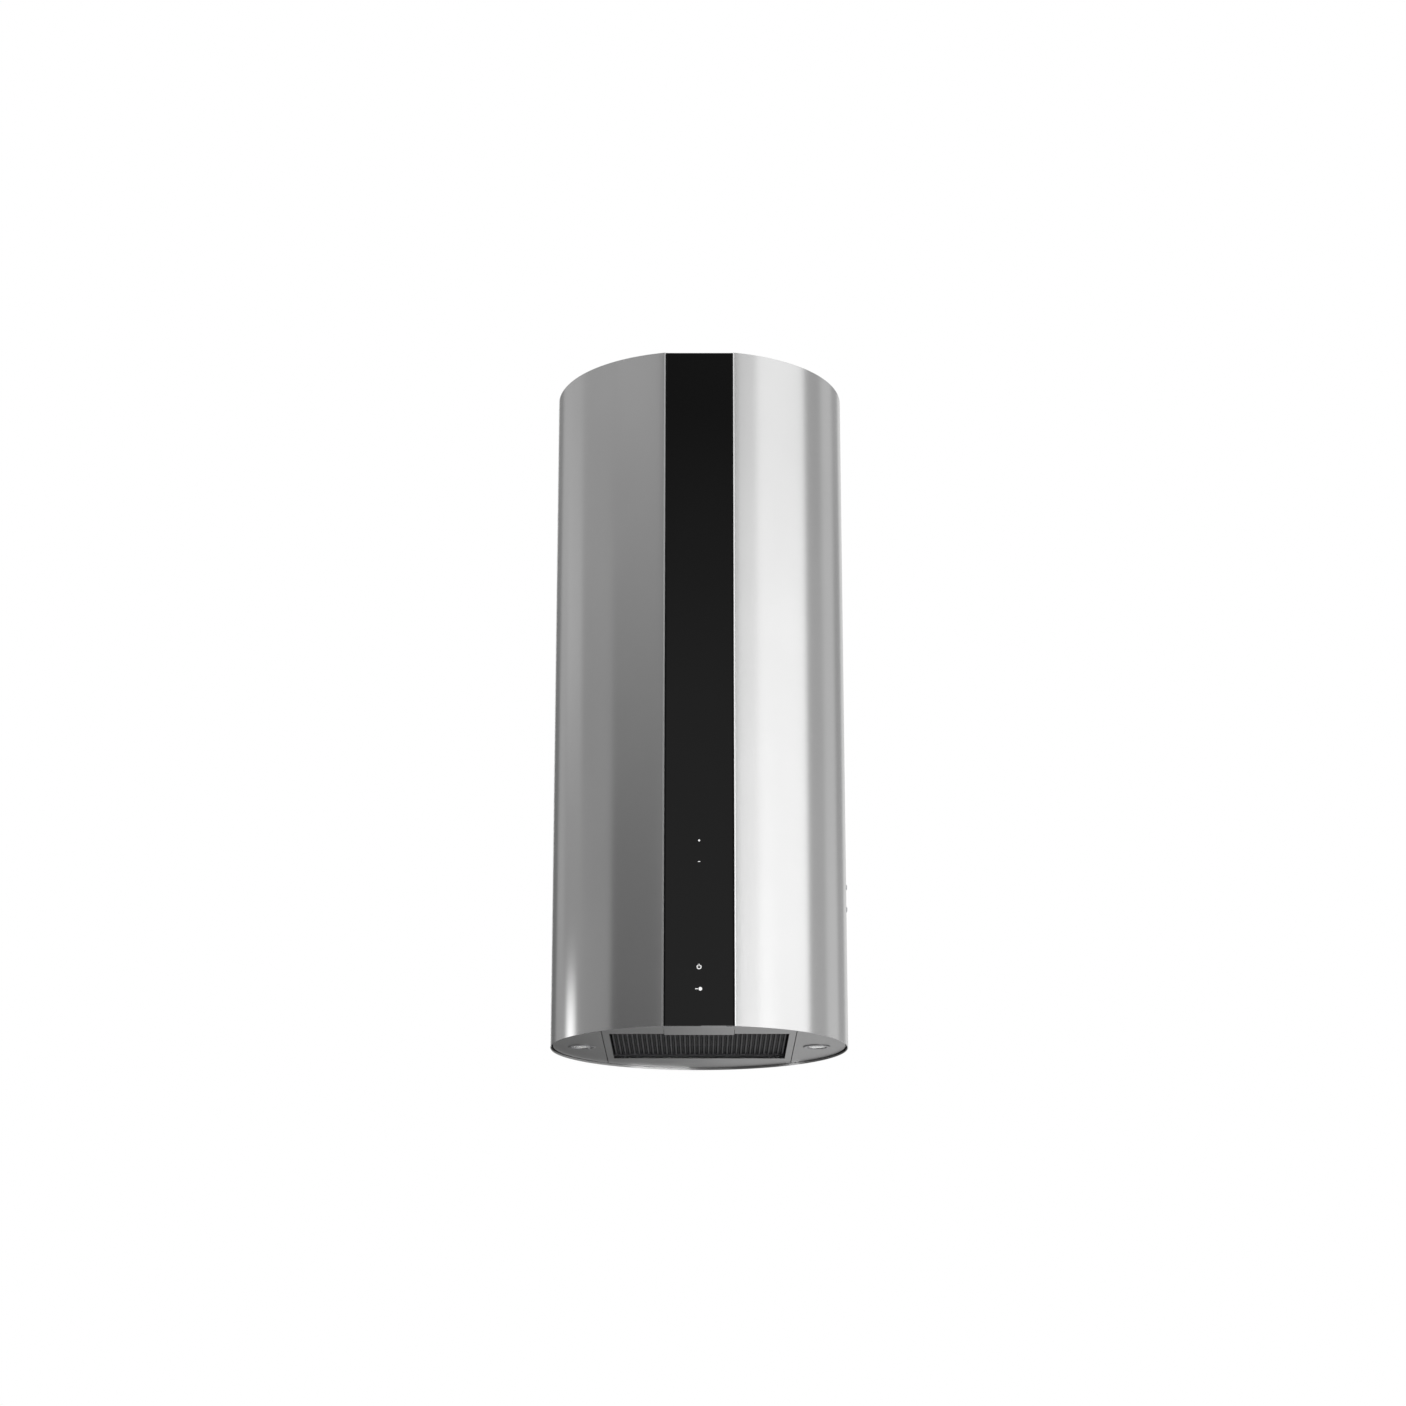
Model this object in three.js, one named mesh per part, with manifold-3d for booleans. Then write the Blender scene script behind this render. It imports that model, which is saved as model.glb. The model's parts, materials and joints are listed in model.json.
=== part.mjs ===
// Island range hood: a stainless tube that hangs from the ceiling, with a touch-control glass strip,
// a blower with a duct outlet, two lamps and a filter door that swings down from the underside.
// Millimetres, +Z up. The origin is the middle of the ceiling plate's top face; the front faces -Y.

import * as THREE from "three";
import { mergeVertices } from "three/addons/utils/BufferGeometryUtils.js";
import Module from "manifold-3d";

const wasm = await Module();
wasm.setup();

// ---- driving dimensions ----

const GAP = 0.3; // clearance between neighbouring pieces
const SHEET = 1.2; // stainless sheet
const BRACKET_SHEET = 1.5; // brackets, braces and the latch strike

const TUBE_R = 195;
const TUBE_H = 900;
const OPENING_HALF = 46.5; // half the width of the tube's front opening
const LEDGE_IN = 34; // half the width left between the two glass ledges

const GLASS_HALF = 44.5;
const GLASS_THICK = 4;

const RECESS = 3; // underside plates sit this far above the tube's rim
const SEAM_X = 124.1; // middle of the seams between the filter door and the lamp plates
const SEAM = 1; // width of those seams
const DOOR_R = 191; // round ends of the filter door
const DOOR_FRONT = 182.8; // flat front edge of the filter door
const WINDOW_X = 115; // half sizes of the filter window
const WINDOW_Y = 108;

const CHASSIS_X = 127.3; // half sizes of the blower chassis
const CHASSIS_Y = 119.2;
const CHASSIS_TOP = -560;

const HINGE_Y = 128; // filter door hinge
const HINGE_Z = -890;
const HINGE_X = 100;
const HINGE_PIN_R = 2;

const FILTER_X = 119.6; // outer half sizes of the filter frame
const FILTER_Y = 112;
const FILTER_H = 13;
const FILTER_WALL_X = 4.1;
const FILTER_WALL_Y = 3.5;
const RIB_PITCH = 6.2;
const RIB_COUNT = 37;
const RIB_W = 2.2;
const RIB_H = 7.5;

const LAMP_X = 154;
const LAMP_HOLE_R = 15.8;
const LENS_R = 12;

const BLOWER_Y = -20; // impeller axis, along X
const BLOWER_Z = -735;
const SCROLL_START_R = 80;
const SCROLL_END_R = 115;
const SCROLL_HALF = 65;
const SCROLL_WALL = 2;
const INLET_R = 64;
const IMPELLER_R = 72;
const SHAFT_R = 4;

const DUCT_R = 75; // outside radius of the duct collar
const COLLAR_H = 58;
const FLAP_AXIS_Y = 4; // damper hinges either side of the duct's middle
const FLAP_AXIS_Z = -520.4;

const CEILING_SHEET = 2;
const CEILING_FRONT = -178; // flat front edge of the ceiling plate
const CABLE_HOLE_Y = 130;
const SLOT_X = 128; // middles of the four slots for the ceiling screws
const SLOT_Y = 70;

const POST_CORNER = 112; // outer corner of the upper posts
const POST_LEG = 25;
const POST_SHEET = 2;
const UPPER_POST_BOTTOM = -330;
const LOWER_POST_TOP = -250;
const BRACE_Z = -300;
const BRACE_WINDOW = 85; // half size of the brace's window

const BRACKET_TOP = -669; // side brackets between the chassis and the tube
const BRACKET_BOTTOM = -729;
const SCREW_Z = [-684, -714]; // tube fixing screws, right side
const SCREW_R = 1.5;
const SCREW_HOLE_R = 1.9;
const SCREW_HEAD_R = 3.6;
const SCREW_HEAD_H = 1.1;
const SCREW_LENGTH = 9.5;

const TOUCH_HALF = 21.8; // touch control housing behind the glass
const TOUCH_DEPTH = 15;
const TOUCH_FROM_RIM = [32, 252];

// ---- derived places ----

const RIM_Z = -TUBE_H;
const UNDERSIDE_Z = RIM_Z + RECESS;
const PLATE_TOP = UNDERSIDE_Z + SHEET;
const TUBE_INNER_R = TUBE_R - SHEET;
const FACET_Y = -Math.sqrt(TUBE_R ** 2 - OPENING_HALF ** 2);
const LEDGE_FRONT = FACET_Y + GLASS_THICK + GAP;
const LEDGE_BACK = LEDGE_FRONT + SHEET;
const DOOR_X = SEAM_X - SEAM / 2;
const LAMP_PLATE_X = SEAM_X + SEAM / 2;
const FRAME_BOTTOM = PLATE_TOP + 2.1;
const COLLAR_Z = CHASSIS_TOP + GAP;
const TOUCH_FRONT = LEDGE_FRONT + 0.1;
const TOUCH_BOTTOM = RIM_Z + TOUCH_FROM_RIM[0];
const TOUCH_TOP = RIM_Z + TOUCH_FROM_RIM[1];

const radians = THREE.MathUtils.degToRad;

// ---- materials ----

function finish(color, roughness, metalness) {
  return new THREE.MeshStandardMaterial({ color, roughness, metalness });
}

const brushedSteel = finish(0xb9bbbd, 0.3, 1);
const blackGlass = finish(0x0b0b0d, 0.08, 0);
const zincSteel = finish(0x9a9ea3, 0.45, 1);
const springSteel = finish(0x8d9095, 0.3, 1);
const filterAluminium = finish(0x77797c, 0.45, 1);
const darkBezel = finish(0x2a2b2d, 0.35, 0.8);
const lampLens = finish(0xf4f5f2, 0.3, 0);
const blackPlastic = finish(0x1b1c1e, 0.5, 0);
const whitePlastic = finish(0xe4e4df, 0.5, 0);
const circuitBoard = finish(0x1f5c37, 0.5, 0);
const softRubber = finish(0x222222, 0.8, 0);
const castAluminium = finish(0xa4a7aa, 0.5, 1);

// ---- solids ----

function toManifold(shape) {
  if (!shape.isBufferGeometry) {
    return shape;
  }
  const bare = shape.clone();
  bare.deleteAttribute("normal");
  bare.deleteAttribute("uv");
  const merged = mergeVertices(bare, 1e-4);
  const vertProperties = new Float32Array(merged.attributes.position.array);
  const triVerts = new Uint32Array(merged.index.array);
  return new wasm.Manifold(new wasm.Mesh({ numProp: 3, vertProperties, triVerts }));
}

function join(...shapes) {
  return shapes.map(toManifold).reduce((whole, piece) => whole.add(piece));
}

function cut(base, ...tools) {
  return tools.map(toManifold).reduce((rest, tool) => rest.subtract(tool), toManifold(base));
}

function toGeometry(shape) {
  const data = toManifold(shape).getMesh();
  const geometry = new THREE.BufferGeometry();
  geometry.setAttribute("position", new THREE.BufferAttribute(new Float32Array(data.vertProperties), 3));
  geometry.setIndex(new THREE.BufferAttribute(new Uint32Array(data.triVerts), 1));
  geometry.computeVertexNormals();
  return geometry;
}

function box(x0, x1, y0, y1, z0, z1) {
  const block = new THREE.BoxGeometry(x1 - x0, y1 - y0, z1 - z0);
  return block.translate((x0 + x1) / 2, (y0 + y1) / 2, (z0 + z1) / 2);
}

// A round bar along one axis; a and b are its other two coordinates in X, Y, Z order.
function bar(axis, radius, from, to, a, b, sides = 24) {
  const rod = new THREE.CylinderGeometry(radius, radius, to - from, sides);
  const middle = (from + to) / 2;
  if (axis === "x") {
    return rod.rotateZ(Math.PI / 2).translate(middle, a, b);
  }
  if (axis === "y") {
    return rod.translate(a, middle, b);
  }
  return rod.rotateX(Math.PI / 2).translate(a, b, middle);
}

// Extrusions of a flat shape: drawn in (X, Y) along Z, or drawn in (Y, Z) along X.
function alongZ(shape, z0, z1, curveSegments = 24) {
  const options = { depth: z1 - z0, bevelEnabled: false, curveSegments };
  return new THREE.ExtrudeGeometry(shape, options).translate(0, 0, z0);
}

function alongX(shape, x0, x1, curveSegments = 24) {
  const options = { depth: x1 - x0, bevelEnabled: false, curveSegments };
  const turn = new THREE.Matrix4().makeBasis(
    new THREE.Vector3(0, 1, 0),
    new THREE.Vector3(0, 0, 1),
    new THREE.Vector3(1, 0, 0),
  );
  return new THREE.ExtrudeGeometry(shape, options).applyMatrix4(turn).translate(x0, 0, 0);
}

// A turned piece about Z from a closed outline of [radius, z] points.
function turned(outline, sides = 36) {
  const points = [...outline, outline[0]].map(([r, z]) => new THREE.Vector2(r, z));
  return new THREE.LatheGeometry(points, sides).rotateX(Math.PI / 2);
}

function polygon(points) {
  return new THREE.Shape(points.map(([u, v]) => new THREE.Vector2(u, v)));
}

function rectangle(u0, u1, v0, v1) {
  return polygon([[u0, v0], [u1, v0], [u1, v1], [u0, v1]]);
}

function circleHole(x, y, radius) {
  const hole = new THREE.Path();
  hole.absarc(x, y, radius, 0, 2 * Math.PI);
  return hole;
}

// A round-ended slot along Y.
function slotHole(x, y, length, radius) {
  const reach = length / 2 - radius;
  const steps = [0, 1, 2, 3, 4].map((i) => (Math.PI * i) / 4);
  const end = (sign) => steps.map((angle) => {
    const u = x + sign * radius * Math.cos(angle);
    return new THREE.Vector2(u, y + sign * (reach + radius * Math.sin(angle)));
  });
  return new THREE.Path([...end(1), ...end(-1)]);
}

// ---- assembly ----

const hood = new THREE.Group();

function add(name, shape, material, parent = hood) {
  const mesh = new THREE.Mesh(toGeometry(shape), material);
  mesh.name = name;
  parent.add(mesh);
  return mesh;
}

function place(name, shape, material, x, y, z, parent = hood) {
  const mesh = add(name, shape, material, parent);
  mesh.position.set(x, y, z);
  return mesh;
}

const eachSide = (action) => [["right", 1], ["left", -1]].forEach(([side, sign]) => action(side, sign));

// ---- outer tube and glass strip ----

function tubeSection() {
  const innerEdgeY = -Math.sqrt(TUBE_INNER_R ** 2 - OPENING_HALF ** 2);
  const outerEdge = Math.atan2(FACET_Y, OPENING_HALF);
  const innerEdge = Math.atan2(innerEdgeY, OPENING_HALF);
  const returnIn = OPENING_HALF - SHEET;
  const section = new THREE.Shape();
  section.moveTo(OPENING_HALF, FACET_Y);
  section.absarc(0, 0, TUBE_R, outerEdge, Math.PI - outerEdge, false);
  section.lineTo(-returnIn, FACET_Y);
  section.lineTo(-returnIn, LEDGE_FRONT);
  section.lineTo(-LEDGE_IN, LEDGE_FRONT);
  section.lineTo(-LEDGE_IN, LEDGE_BACK);
  section.lineTo(-OPENING_HALF, LEDGE_BACK);
  section.absarc(0, 0, TUBE_INNER_R, Math.PI - innerEdge, innerEdge, true);
  section.lineTo(OPENING_HALF, LEDGE_BACK);
  section.lineTo(LEDGE_IN, LEDGE_BACK);
  section.lineTo(LEDGE_IN, LEDGE_FRONT);
  section.lineTo(returnIn, LEDGE_FRONT);
  section.lineTo(returnIn, FACET_Y);
  section.closePath();
  return section;
}

function outerTube() {
  const screwHoles = SCREW_Z.map((z) => bar("x", SCREW_HOLE_R, TUBE_R - 10, TUBE_R + 5, 0, z, 16));
  return cut(alongZ(tubeSection(), RIM_Z, 0, 40), ...screwHoles);
}

function frontGlass() {
  return box(-GLASS_HALF, GLASS_HALF, FACET_Y, FACET_Y + GLASS_THICK, RIM_Z + 0.5, -0.5);
}

// A steel channel behind the glass, between the tube's two ledges, with a window for the touch board.
function glassChannel() {
  const half = LEDGE_IN - 0.5;
  const depth = 10;
  const bottom = RIM_Z + 12;
  const top = -20;
  const front = LEDGE_FRONT;
  const web = box(-half, half, front, front + SHEET, bottom, top);
  const flange = (x) => box(x, x + SHEET, front, front + depth, bottom, top);
  const windowHalf = TOUCH_HALF + 0.7;
  const window = box(-windowHalf, windowHalf, front - 1, front + 5, TOUCH_BOTTOM - 2, TOUCH_TOP + 2);
  return cut(join(web, flange(-half), flange(half - SHEET)), window);
}

function tubeScrew() {
  const shares = [[1, 0.4], [0.85, 0.8], [0.5, 1], [0, 1]];
  const dome = shares.map(([r, h]) => [r * SCREW_HEAD_R, h * SCREW_HEAD_H]);
  const outline = [[0, -SCREW_LENGTH], [SCREW_R, -SCREW_LENGTH], [SCREW_R, 0], [SCREW_HEAD_R, 0], ...dome];
  return turned(outline, 16).rotateY(Math.PI / 2);
}

add("outer_tube", outerTube(), brushedSteel);
add("front_glass", frontGlass(), blackGlass);
add("glass_channel", glassChannel(), zincSteel);
place("tube_screw_upper", tubeScrew(), brushedSteel, TUBE_R + GAP, 0, SCREW_Z[0]);
place("tube_screw_lower", tubeScrew(), brushedSteel, TUBE_R + GAP, 0, SCREW_Z[1]);

// ---- touch control behind the glass ----

function touchHousing() {
  const wall = 1.8;
  const back = TOUCH_FRONT + TOUCH_DEPTH;
  const shell = box(-TOUCH_HALF, TOUCH_HALF, TOUCH_FRONT, back, TOUCH_BOTTOM, TOUCH_TOP);
  const floor = back - wall;
  const pocket = box(
    -TOUCH_HALF + wall, TOUCH_HALF - wall, TOUCH_FRONT - 1, floor, TOUCH_BOTTOM + wall, TOUCH_TOP - wall,
  );
  const posts = [-15, 15].flatMap((x) =>
    [TOUCH_BOTTOM + 12, TOUCH_TOP - 12].map((z) => bar("y", 2.5, TOUCH_FRONT + 2.1, floor + 0.5, x, z, 12)),
  );
  return join(cut(shell, pocket), ...posts);
}

function touchBoard() {
  const half = TOUCH_HALF - 2.2;
  const front = TOUCH_FRONT + 0.2;
  const thick = 1.6;
  const face = front + thick - 0.2;
  const board = box(-half, half, front, front + thick, TOUCH_BOTTOM + 2.2, TOUCH_TOP - 2.2);
  const chip = (up) => box(-7, 7, face, face + 2.2, TOUCH_BOTTOM + up, TOUCH_BOTTOM + up + 14);
  const plug = box(-10, 10, face, face + 5.6, TOUCH_BOTTOM + 98, TOUCH_BOTTOM + 106);
  return join(board, plug, ...[19, 61, 121, 171].map(chip));
}

add("touch_housing", touchHousing(), blackPlastic);
add("touch_board", touchBoard(), circuitBoard);

// ---- suspension ----

function ceilingPlate() {
  const radius = TUBE_INNER_R - 4;
  const chord = Math.asin(CEILING_FRONT / radius);
  const plate = new THREE.Shape();
  plate.absarc(0, 0, radius, chord, Math.PI - chord, false);
  plate.closePath();
  plate.holes.push(circleHole(0, 0, DUCT_R + 10));
  plate.holes.push(circleHole(0, CABLE_HOLE_Y, 12));
  [-SLOT_X, SLOT_X].forEach((x) => [-SLOT_Y, SLOT_Y].forEach((y) => plate.holes.push(slotHole(x, y, 24, 4))));
  return alongZ(plate, -CEILING_SHEET, 0, 14);
}

// An angle profile in the +X +Y corner, with a square foot at one end.
function post(corner, z0, z1, footZ) {
  const leg = corner - POST_LEG;
  const inner = corner - POST_SHEET;
  const angle = polygon([
    [leg, inner], [inner, inner], [inner, leg], [corner, leg], [corner, corner], [leg, corner],
  ]);
  const foot = box(leg, corner, leg, corner, footZ, footZ + POST_SHEET);
  return join(alongZ(angle, z0, z1), foot);
}

function frameBrace() {
  const half = POST_CORNER - 2 * POST_SHEET - 2 * GAP;
  const ring = rectangle(-half, half, -half, half);
  ring.holes.push(rectangle(-BRACE_WINDOW, BRACE_WINDOW, -BRACE_WINDOW, BRACE_WINDOW));
  return alongZ(ring, BRACE_Z - BRACKET_SHEET, BRACE_Z);
}

function addPosts() {
  const corners = ["rear_right", "rear_left", "front_left", "front_right"];
  const upperTop = -CEILING_SHEET - GAP;
  const upperPost = post(POST_CORNER, UPPER_POST_BOTTOM, upperTop, upperTop - POST_SHEET);
  const lowerPost = post(POST_CORNER - POST_SHEET - GAP, COLLAR_Z, LOWER_POST_TOP, COLLAR_Z);
  corners.forEach((corner, quarter) => {
    add(`post_upper_${corner}`, upperPost, zincSteel).rotation.z = radians(90 * quarter);
    add(`post_lower_${corner}`, lowerPost, zincSteel).rotation.z = radians(90 * quarter);
  });
}

add("ceiling_plate", ceilingPlate(), zincSteel);
addPosts();
add("frame_brace", frameBrace(), zincSteel);

// ---- blower chassis and what it carries ----

const CHASSIS_BOTTOM = PLATE_TOP + 2.8;

function chassisBox() {
  const x = CHASSIS_X;
  const y = CHASSIS_Y;
  const shell = box(-x, x, -y, y, CHASSIS_BOTTOM, CHASSIS_TOP);
  const inside = box(-x + SHEET, x - SHEET, -y + SHEET, y - SHEET, CHASSIS_BOTTOM - 5, CHASSIS_TOP - SHEET);
  const outlet = bar("z", 70, CHASSIS_TOP - 5, CHASSIS_TOP + 5, 0, 0, 48);
  const cableHole = bar("y", 8, y - 5, y + 5, 60, -655, 20);
  return cut(shell, inside, outlet, cableHole);
}

// A bracket from the chassis side to the tube wall, drawn for the right side.
function sideBracket(screwed) {
  const inner = CHASSIS_X + GAP;
  const outer = TUBE_INNER_R - 1.1;
  const webZ = (BRACKET_TOP + BRACKET_BOTTOM) / 2;
  const foot = box(inner, inner + BRACKET_SHEET, -20, 20, BRACKET_BOTTOM, BRACKET_TOP);
  const web = box(inner, outer, -15, 15, webZ - BRACKET_SHEET / 2, webZ + BRACKET_SHEET / 2);
  const end = box(outer - BRACKET_SHEET, outer, -15, 15, BRACKET_BOTTOM + 4, BRACKET_TOP - 4);
  const whole = join(foot, web, end);
  const holes = SCREW_Z.map((z) => bar("x", SCREW_HOLE_R, outer - 5, outer + 5, 0, z, 16));
  return screwed ? cut(whole, ...holes) : whole;
}

add("chassis_box", chassisBox(), zincSteel);
add("side_bracket_right", sideBracket(true), zincSteel);
add("side_bracket_left", sideBracket(false), zincSteel).rotation.z = Math.PI;

// ---- underside: lamp plates ----

function segment(radius, chordX) {
  const edge = Math.acos(chordX / radius);
  const outline = new THREE.Shape();
  outline.absarc(0, 0, radius, -edge, edge, false);
  outline.closePath();
  return outline;
}

// A tray in the shape of a circle's segment: flat floor, low rim on the arc, tall flange on the chord.
function lampPlate() {
  const radius = DOOR_R + 0.5;
  const floor = alongZ(segment(radius, LAMP_PLATE_X), UNDERSIDE_Z, PLATE_TOP, 12);
  const outerWall = alongZ(segment(radius, LAMP_PLATE_X + 2), PLATE_TOP - 0.5, PLATE_TOP + 7, 12);
  const hollow = alongZ(segment(radius - SHEET, LAMP_PLATE_X - 5), PLATE_TOP - 1, PLATE_TOP + 10, 12);
  const flange = box(LAMP_PLATE_X, LAMP_PLATE_X + SHEET, -117, 117, PLATE_TOP - 0.5, PLATE_TOP + 13);
  const lampHole = bar("z", LAMP_HOLE_R, UNDERSIDE_Z - 5, PLATE_TOP + 5, LAMP_X, 0, 24);
  return cut(join(floor, cut(outerWall, hollow), flange), lampHole);
}

eachSide((side, sign) => {
  add(`lamp_plate_${side}`, lampPlate(), brushedSteel).rotation.z = sign > 0 ? 0 : Math.PI;
});

// ---- lamps, drawn about their own axis with z = 0 on the underside ----

const BEZEL_TOP = 17;
const BEZEL_BORE = LAMP_HOLE_R - 2.2; // bore of the bezel's sleeve, above its inner lip

function lampBezel() {
  const sleeve = LAMP_HOLE_R - 0.6;
  const face = LAMP_HOLE_R + 2;
  const lip = LENS_R + 0.4;
  return turned([
    [lip, -1.3], [face - 0.8, -1.3], [face, -0.8], [face, -GAP], [sleeve, -GAP],
    [sleeve, BEZEL_TOP], [BEZEL_BORE, BEZEL_TOP], [BEZEL_BORE, 3], [lip, 3],
  ], 24);
}

function lampLensPiece() {
  const flange = BEZEL_BORE - 0.4;
  const seat = 3 + GAP;
  return turned([
    [0, -0.8], [LENS_R - 1.1, -0.8], [LENS_R, -0.2], [LENS_R, seat], [flange, seat], [flange, 5], [0, 5],
  ], 24);
}

function lampBody() {
  const radius = LAMP_HOLE_R - 0.4;
  const bottom = BEZEL_TOP + GAP;
  const top = bottom + 24.7;
  const groove = (z) => [[radius, z], [radius - 4, z], [radius - 4, z + 3], [radius, z + 3]];
  return turned([[0, bottom], [radius, bottom], ...groove(24), ...groove(32), [radius, top], [0, top]], 18);
}

eachSide((side, sign) => {
  const x = sign * LAMP_X;
  place(`lamp_bezel_${side}`, lampBezel(), darkBezel, x, 0, UNDERSIDE_Z);
  place(`lamp_lens_${side}`, lampLensPiece(), lampLens, x, 0, UNDERSIDE_Z);
  place(`lamp_body_${side}`, lampBody(), castAluminium, x, 0, UNDERSIDE_Z);
});

// ---- door hooks and latch strike ----

// A hook that carries the door's hinge pin, open at the top and rear, with its base on the chassis.
function hingeHook() {
  const inner = HINGE_PIN_R + 0.4;
  const outer = inner + 2.8;
  const cradle = new THREE.Shape();
  cradle.absarc(HINGE_Y, HINGE_Z, outer, radians(140), radians(350), false);
  cradle.absarc(HINGE_Y, HINGE_Z, inner, radians(350), radians(140), true);
  cradle.closePath();
  const chassis = CHASSIS_Y + GAP;
  const base = box(-9, 9, chassis, chassis + 1.6, -880, -850);
  const arm = box(-2, 2, chassis, HINGE_Y - inner - 0.8, HINGE_Z - 1, -862);
  return join(alongX(cradle, -2, 2, 7), base, arm);
}

eachSide((side, sign) => {
  place(`hinge_hook_${side}`, hingeHook(), zincSteel, sign * HINGE_X, 0, 0);
});

const STRIKE_Z = PLATE_TOP + 5.8; // underside of the strike's lip
const STRIKE_REAR = -178.2;

function latchStrike() {
  const half = 14;
  const back = LEDGE_FRONT + SHEET + GAP;
  const leg = box(-half, half, back, back + BRACKET_SHEET, STRIKE_Z, RIM_Z + 31);
  const lip = box(-half, half, back, STRIKE_REAR, STRIKE_Z, STRIKE_Z + BRACKET_SHEET);
  return join(leg, lip);
}

add("latch_strike", latchStrike(), zincSteel);

// ---- blower, drawn about the impeller axis ----

const blower = new THREE.Group();
blower.position.set(0, BLOWER_Y, BLOWER_Z);
hood.add(blower);

const NECK_TOP = CHASSIS_TOP - 3 - BLOWER_Z;
const CUTOFF = radians(60);

// The scroll's outline in (Y, Z), grown by its wall: a spiral that leads into an upward, leaning neck.
function scrollOutline(wall) {
  const steps = 28;
  const first = wall > 0 ? CUTOFF + radians(7) : CUTOFF;
  const cutoffY = SCROLL_START_R * Math.cos(CUTOFF);
  const cutoffZ = SCROLL_START_R * Math.sin(CUTOFF);
  const top = wall > 0 ? NECK_TOP : NECK_TOP + 10;
  const outline = [];
  for (let i = 0; i <= steps; i += 1) {
    const angle = first + ((2 * Math.PI - first) * i) / steps;
    const grown = (angle - CUTOFF) / (2 * Math.PI - CUTOFF);
    const radius = SCROLL_START_R + (SCROLL_END_R - SCROLL_START_R) * grown + wall;
    outline.push([radius * Math.cos(angle), radius * Math.sin(angle)]);
  }
  const frontTop = cutoffY - ((cutoffY + 30) * (top - cutoffZ)) / (NECK_TOP - cutoffZ);
  const rearTop = SCROLL_END_R - (23 * top) / NECK_TOP;
  outline.push([rearTop + wall, top], [frontTop - wall, top]);
  return polygon(outline);
}

// Half of the scroll: sign is 1 for the right side (+X) and -1 for the left.
function scrollHalf(sign) {
  const between = (a, b) => [Math.min(sign * a, sign * b), Math.max(sign * a, sign * b)];
  const shell = alongX(scrollOutline(SCROLL_WALL), ...between(GAP / 2, SCROLL_HALF));
  const air = alongX(scrollOutline(0), ...between(-1, SCROLL_HALF - SCROLL_WALL));
  const inlet = bar("x", INLET_R, ...between(SCROLL_HALF - 10, SCROLL_HALF + 10), 0, 0, 32);
  return cut(shell, air, inlet);
}

const BLADES = 18;
const BLADE_HALF = 0.8; // half of a blade's thickness
const IMPELLER_HALF = 52; // half of the impeller's length

// One forward-curved blade in (Y, Z): its middle line leans further round as the radius grows.
function bladeOutline() {
  const line = [[57.5, 0], [65, 3], [71.4, 9]];
  const edge = (side) => line.map(([r, degrees]) => {
    const angle = radians(degrees) + (side * BLADE_HALF) / r;
    return [r * Math.cos(angle), r * Math.sin(angle)];
  });
  return polygon([...edge(-1), ...edge(1).reverse()]);
}

function ringAlongX(inner, outer, x0, x1, sides = 36) {
  return cut(bar("x", outer, x0, x1, 0, 0, sides), bar("x", inner, x0 - 1, x1 + 1, 0, 0, sides));
}

function impeller() {
  const blade = alongX(bladeOutline(), -IMPELLER_HALF, IMPELLER_HALF);
  const blades = Array.from({ length: BLADES }, (_, i) => blade.clone().rotateX((2 * Math.PI * i) / BLADES));
  const disc = bar("x", 63, -1, 1, 0, 0, 36);
  const hub = bar("x", 11, -6, 12, 0, 0);
  const endRing = (x) => ringAlongX(IMPELLER_R - 8, IMPELLER_R, x, x + 2.5);
  const bore = bar("x", SHAFT_R + GAP, -10, 20, 0, 0, 16);
  return cut(join(disc, hub, endRing(-IMPELLER_HALF), endRing(IMPELLER_HALF - 2.5), ...blades), bore);
}

// The motor sits inside the impeller on the left; its case keeps a bearing at either end.
const MOTOR_LEFT = -57;
const MOTOR_RIGHT = -12;

function motorBody() {
  const r = 44;
  const seat = 9.3; // bearing seats, 8 deep at either end
  const length = MOTOR_RIGHT - MOTOR_LEFT;
  const outline = [
    [seat, 0], [26, 0], [r - 4, 4], [r, 9], [r, length - 9], [r - 4, length - 4], [26, length],
    [seat, length], [seat, length - 8], [6, length - 8], [6, 8], [seat, 8],
  ];
  return turned(outline, 20).rotateY(Math.PI / 2).translate(MOTOR_LEFT, 0, 0);
}

function motorBearing() {
  const outline = [[SHAFT_R + 0.1, 0], [9, 0], [9, 7], [SHAFT_R + 0.1, 7]];
  return turned(outline, 24).rotateY(Math.PI / 2);
}

function motorMountRing() {
  const outline = [[13, 0], [24, 0], [24, 7.4], [13, 7.4]];
  return turned(outline, 24).rotateY(Math.PI / 2);
}

function motorBracket() {
  const x0 = -SCROLL_HALF - GAP - 3;
  const x1 = -SCROLL_HALF - GAP;
  const arm = box(x0, x1, 20, 77, -7, 7);
  const arms = [90, 210, 330].map((degrees) => arm.clone().rotateX(radians(degrees)));
  return join(ringAlongX(14, 28, x0, x1, 32), ...arms);
}

eachSide((side, sign) => add(`scroll_${side}`, scrollHalf(sign), zincSteel, blower));
add("impeller", impeller(), blackPlastic, blower);
add("motor_shaft", bar("x", SHAFT_R, -54, 11, 0, 0, 16), springSteel, blower);
add("motor_body", motorBody(), castAluminium, blower);
place("motor_bearing_rear", motorBearing(), castAluminium, MOTOR_LEFT + 0.6, 0, 0, blower);
place("motor_bearing_front", motorBearing(), castAluminium, MOTOR_RIGHT - 7.6, 0, 0, blower);
place("motor_mount_ring", motorMountRing(), softRubber, -SCROLL_HALF, 0, 0, blower);
add("motor_bracket", motorBracket(), zincSteel, blower);

// ---- outlet collar and damper ----

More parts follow.
